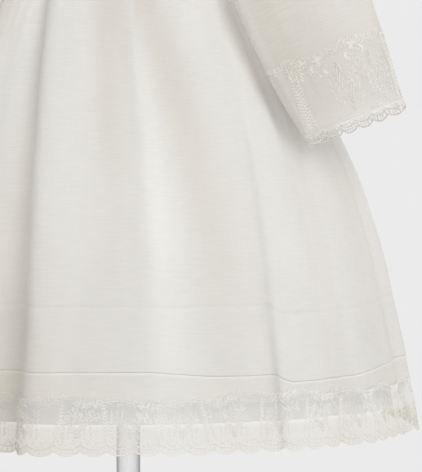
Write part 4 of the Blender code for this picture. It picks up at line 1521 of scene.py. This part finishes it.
def back_turns(edge, share, columns=36):
    """Turns across the left back, from its side edge to past the centre, where it laps."""
    above_hem = SEAM + (neckline(180.0) - SEAM) * share
    half_width = column(BODICE_OUTLINE, "half_width", above_hem)
    lap = np.degrees(np.arcsin(BACK_LAP / half_width))
    blend = np.degrees(np.arcsin(BACK_LAP_BLEND / half_width))
    outer = np.linspace(180 - edge, 180 - blend, columns)
    inner = np.linspace(180 - blend, 180 - lap, 6)[1:]
    return np.concatenate([outer, inner, [180, 180 + lap]])


def placket_stitches():
    """Two rows of stitches down the lapped centre back."""
    tall = float(neckline(180.0) - SEAM)
    rows = []
    for number, aside in enumerate((5.0, -5.0), 1):

        def on_lap(along, up, lift, aside=aside):
            shares = (along + 4) / tall
            half_width = column(BODICE_OUTLINE, "half_width", SEAM + tall * shares)
            turns = 180 + np.degrees(np.arcsin((aside + up) / half_width))
            points = bodice_surface(turns, shares)
            points[:, 1] += BACK_LAP_LIFT + 0.15 + lift
            return points

        row = stitch_row(f"placket_stitches_{number}", on_lap, tall - 8)
        rows.append(settle(row, "voile"))
    return rows


def bodice_panel(name, node, turns, shares, grid, flip=False, stitched=False):
    """A panel of the bodice, with its flat size and whether the back's stitches are on it."""
    flat = np.stack([turns / 180 * BODICE_HALF_ROUND, shares * (NECK_POINT - SEAM)], axis=-1)
    panel = grid_object(name, grid, flat, VOILE, flip=flip)
    settle(panel, "voile", node)
    placket_stitches() if stitched else []


def make_bodice():
    """The bodice front, and the two backs that lap at the centre back."""
    edges = bodice_edges()
    turns = np.array([np.linspace(-edge, edge, BODICE_COLUMNS) for edge, _ in edges])
    shares = np.array([np.full(BODICE_COLUMNS, share) for _, share in edges])
    grid = bodice_surface(turns, shares)
    bodice_panel("bodice_cloth_front", "bodice_front", turns, shares, grid)
    turns = np.array([back_turns(edge, share) for edge, share in edges])
    shares = np.array([np.full(turns.shape[1], share) for _, share in edges])
    blend = np.zeros(turns.shape[1])
    blend[-7:] = np.linspace(0.2, 1, 7)
    for side, sign in (("left", 1), ("right", -1)):
        grid = bodice_surface(turns * sign, shares)
        grid[:, :, 1] += BACK_LAP_LIFT * sign * blend
        bodice_panel(
            f"bodice_cloth_back_{side}",
            f"bodice_back_{side}",
            turns,
            shares,
            grid,
            flip=side == "right",
            stitched=side == "left",
        )


def make_binding():
    """The bound neck edge, which stands up from the neckline and meets at the centre back."""
    edge = 90 - SHOULDER_SEAM_HALF_GAP
    half = np.concatenate([np.linspace(0, edge, 60), np.linspace(edge, BINDING_END_TURN, 60)[1:]])
    turns = np.concatenate([-half[::-1], half[1:]])
    foot = bodice_points(turns, 1.0)
    foot[:, 2] += BINDING_LIFT
    head = foot + (0, 0, BINDING_HEIGHT)
    head[:, :2] *= BINDING_TAPER
    rise = unit(head - foot)
    out = unit(np.cross(np.gradient(foot, axis=0), rise))
    middle = (foot + head) / 2
    ring = []
    for angle in np.radians(np.linspace(*BINDING_OPEN_TURNS, BINDING_SIDES)):
        up = BINDING_HEIGHT / 2 * np.sign(sin(angle)) * abs(sin(angle)) ** 0.7
        away = BINDING_THICKNESS / 2 * np.sign(cos(angle)) * abs(cos(angle)) ** 0.8
        ring.append(middle + rise * up + out * away)
    run = lengths_along(middle)
    flat = np.stack(np.meshgrid(run, np.arange(BINDING_SIDES) * 1.2), axis=-1)
    binding = grid_object("neck_binding_cloth", np.array(ring), flat, VOILE)
    settle(binding, "voile", "neck_binding")


def lathe(name, rows, flat_round, flat_up, material, sides=96, sharp=35):
    """A solid from level sections, rows of (half width, half depth, height) from its foot up.

    Its flat coordinates are flat_round for each radian and flat_up for each row.
    """
    wide, deep, height = np.array(rows, float).T[..., None]
    angles = np.linspace(0, 2 * pi, sides, endpoint=False)
    points = turned(wide, deep, np.repeat(height, sides, axis=1), angles)
    flat = np.stack(np.meshgrid(angles * flat_round, flat_up), axis=-1)
    faces = capped_faces(len(rows), sides)
    made = make_object(name, points.reshape(-1, 3), faces, flat.reshape(-1, 2), material)
    made.data.set_sharp_from_angle(angle=radians(sharp))
    return made


def round_lathe(name, profile, material):
    """A round solid from its profile of (radius, height)."""
    rows = [(radius, radius, height) for radius, height in profile]
    return lathe(name, rows, 40, lengths_along(np.array(profile)), material)


def make_form():
    """The dress form and its stand."""
    low, high = FORM_OUTLINE[0].above_hem, FORM_OUTLINE[-1].above_hem
    heights = np.concatenate([np.linspace(low, 300, 24), np.linspace(304, high, 120)])
    wide = column(FORM_OUTLINE, "half_width", heights)
    deep = column(FORM_OUTLINE, "half_depth", heights)
    rows = np.column_stack([wide, deep, heights + HEM_HEIGHT])
    body = lathe("form_body", rows, 100, heights, JERSEY, sides=120, sharp=50)
    settle(body, "form_cover", "form_torso")
    cap = [(radius, HEM_HEIGHT + high + GAP + up) for radius, up in CAP_PROFILE]
    settle(round_lathe("form_cap", cap, CAP), "cap", "form_neck_cap")
    settle(round_lathe("display_rod", POLE_PROFILE, ACRYLIC), "clear_acrylic", "stand_pole")
    settle(round_lathe("display_base", BASE_PROFILE, BASE), "base", "stand_base")


def make_button(number, above_hem):
    """A small button at the centre back, sewn on by two threads."""
    share = (above_hem - SEAM) / (neckline(180.0) - SEAM)
    low, high = bodice_points(180.0, share - 0.02), bodice_points(180.0, share + 0.02)
    rise = unit(high - low)
    out = np.array([0, rise[2], -rise[1]])
    middle = (low + high) / 2 + out * (BACK_LAP_LIFT + GAP + BUTTON_STAND)
    points, flat = [], []
    for radius, away in BUTTON_PROFILE:
        for angle in np.arange(BUTTON_SIDES) * 2 * pi / BUTTON_SIDES:
            across = np.array([-cos(angle), 0, 0]) + rise * sin(angle)
            points.append(middle + out * away + across * radius)
            flat.append((radius * cos(angle), radius * sin(angle)))
    faces = capped_faces(len(BUTTON_PROFILE), BUTTON_SIDES)
    button = make_object(f"button_shell_{number}", points, faces, flat, SHELL)
    settle(button, "shell_button", f"button_{number}")
    drawing = Drawing()
    for off in (-0.7, 0.7):
        drawing.cord([(along, off) for along in (-1.5, -0.9, 0, 0.9, 1.5)], BUTTON_THREAD_RADIUS)

    def on_button(along, up, lift):
        bow = 1.75 + 0.35 * (1 - (along / 1.5) ** 2)
        across = np.outer(-along, (1, 0, 0)) + np.outer(up, rise)
        return middle + across + np.outer(bow + lift, out)

    settle(lay(f"button_thread_{number}", drawing, on_button, THREAD), "shell_button")


def make_surroundings():
    """The floor, the even light of a pale studio and a soft lamp, and the camera."""
    floor = make_object(
        "floor",
        [(x * FLOOR_REACH, y * FLOOR_REACH, 0) for x, y in ((-1, -1), (1, -1), (1, 1), (-1, 1))],
        [(0, 1, 2, 3)],
        [(0, 0), (1, 0), (1, 1), (0, 1)],
        FLOOR,
    )
    world = bpy.data.worlds.new("pale_studio")
    world.use_nodes = True
    shade = world.node_tree.nodes["Background"]
    shade.inputs["Color"].default_value = (BACKGROUND, BACKGROUND, BACKGROUND, 1.0)
    shade.inputs["Strength"].default_value = 1.0
    scene = bpy.context.scene
    scene.world = world
    scene.view_settings.view_transform = "Standard"
    lamp = bpy.data.lights.new("key_light", "SUN")
    lamp.energy = KEY_STRENGTH
    lamp.angle = radians(KEY_SOFTNESS)
    made = bpy.data.objects.new("key_light", lamp)
    made.rotation_euler = [radians(a) for a in KEY_TILT]
    scene.collection.objects.link(made)
    data = bpy.data.cameras.new("camera")
    data.lens = CAMERA_LENS
    data.sensor_width = 36.0
    data.clip_end = 2000.0
    camera = bpy.data.objects.new("camera", data)
    camera.location = CAMERA_PLACE
    away = np.array(CAMERA_AIM) - np.array(CAMERA_PLACE)
    level = float(np.hypot(away[0], away[1]))
    camera.rotation_euler = (pi / 2 + atan2(away[2], level), 0, -atan2(away[0], away[1]))
    scene.collection.objects.link(camera)
    scene.camera = camera


make_surroundings()
make_form()
for half in SKIRT_HALVES:
    make_skirt_half(*half)
    make_band_half(*half)
make_lining()
make_hem_lace()
make_bodice()
make_binding()
for number, above_hem in enumerate(BUTTONS_ABOVE_HEM, 1):
    make_button(number, above_hem)
make_sleeves()
make_cuff_lace()
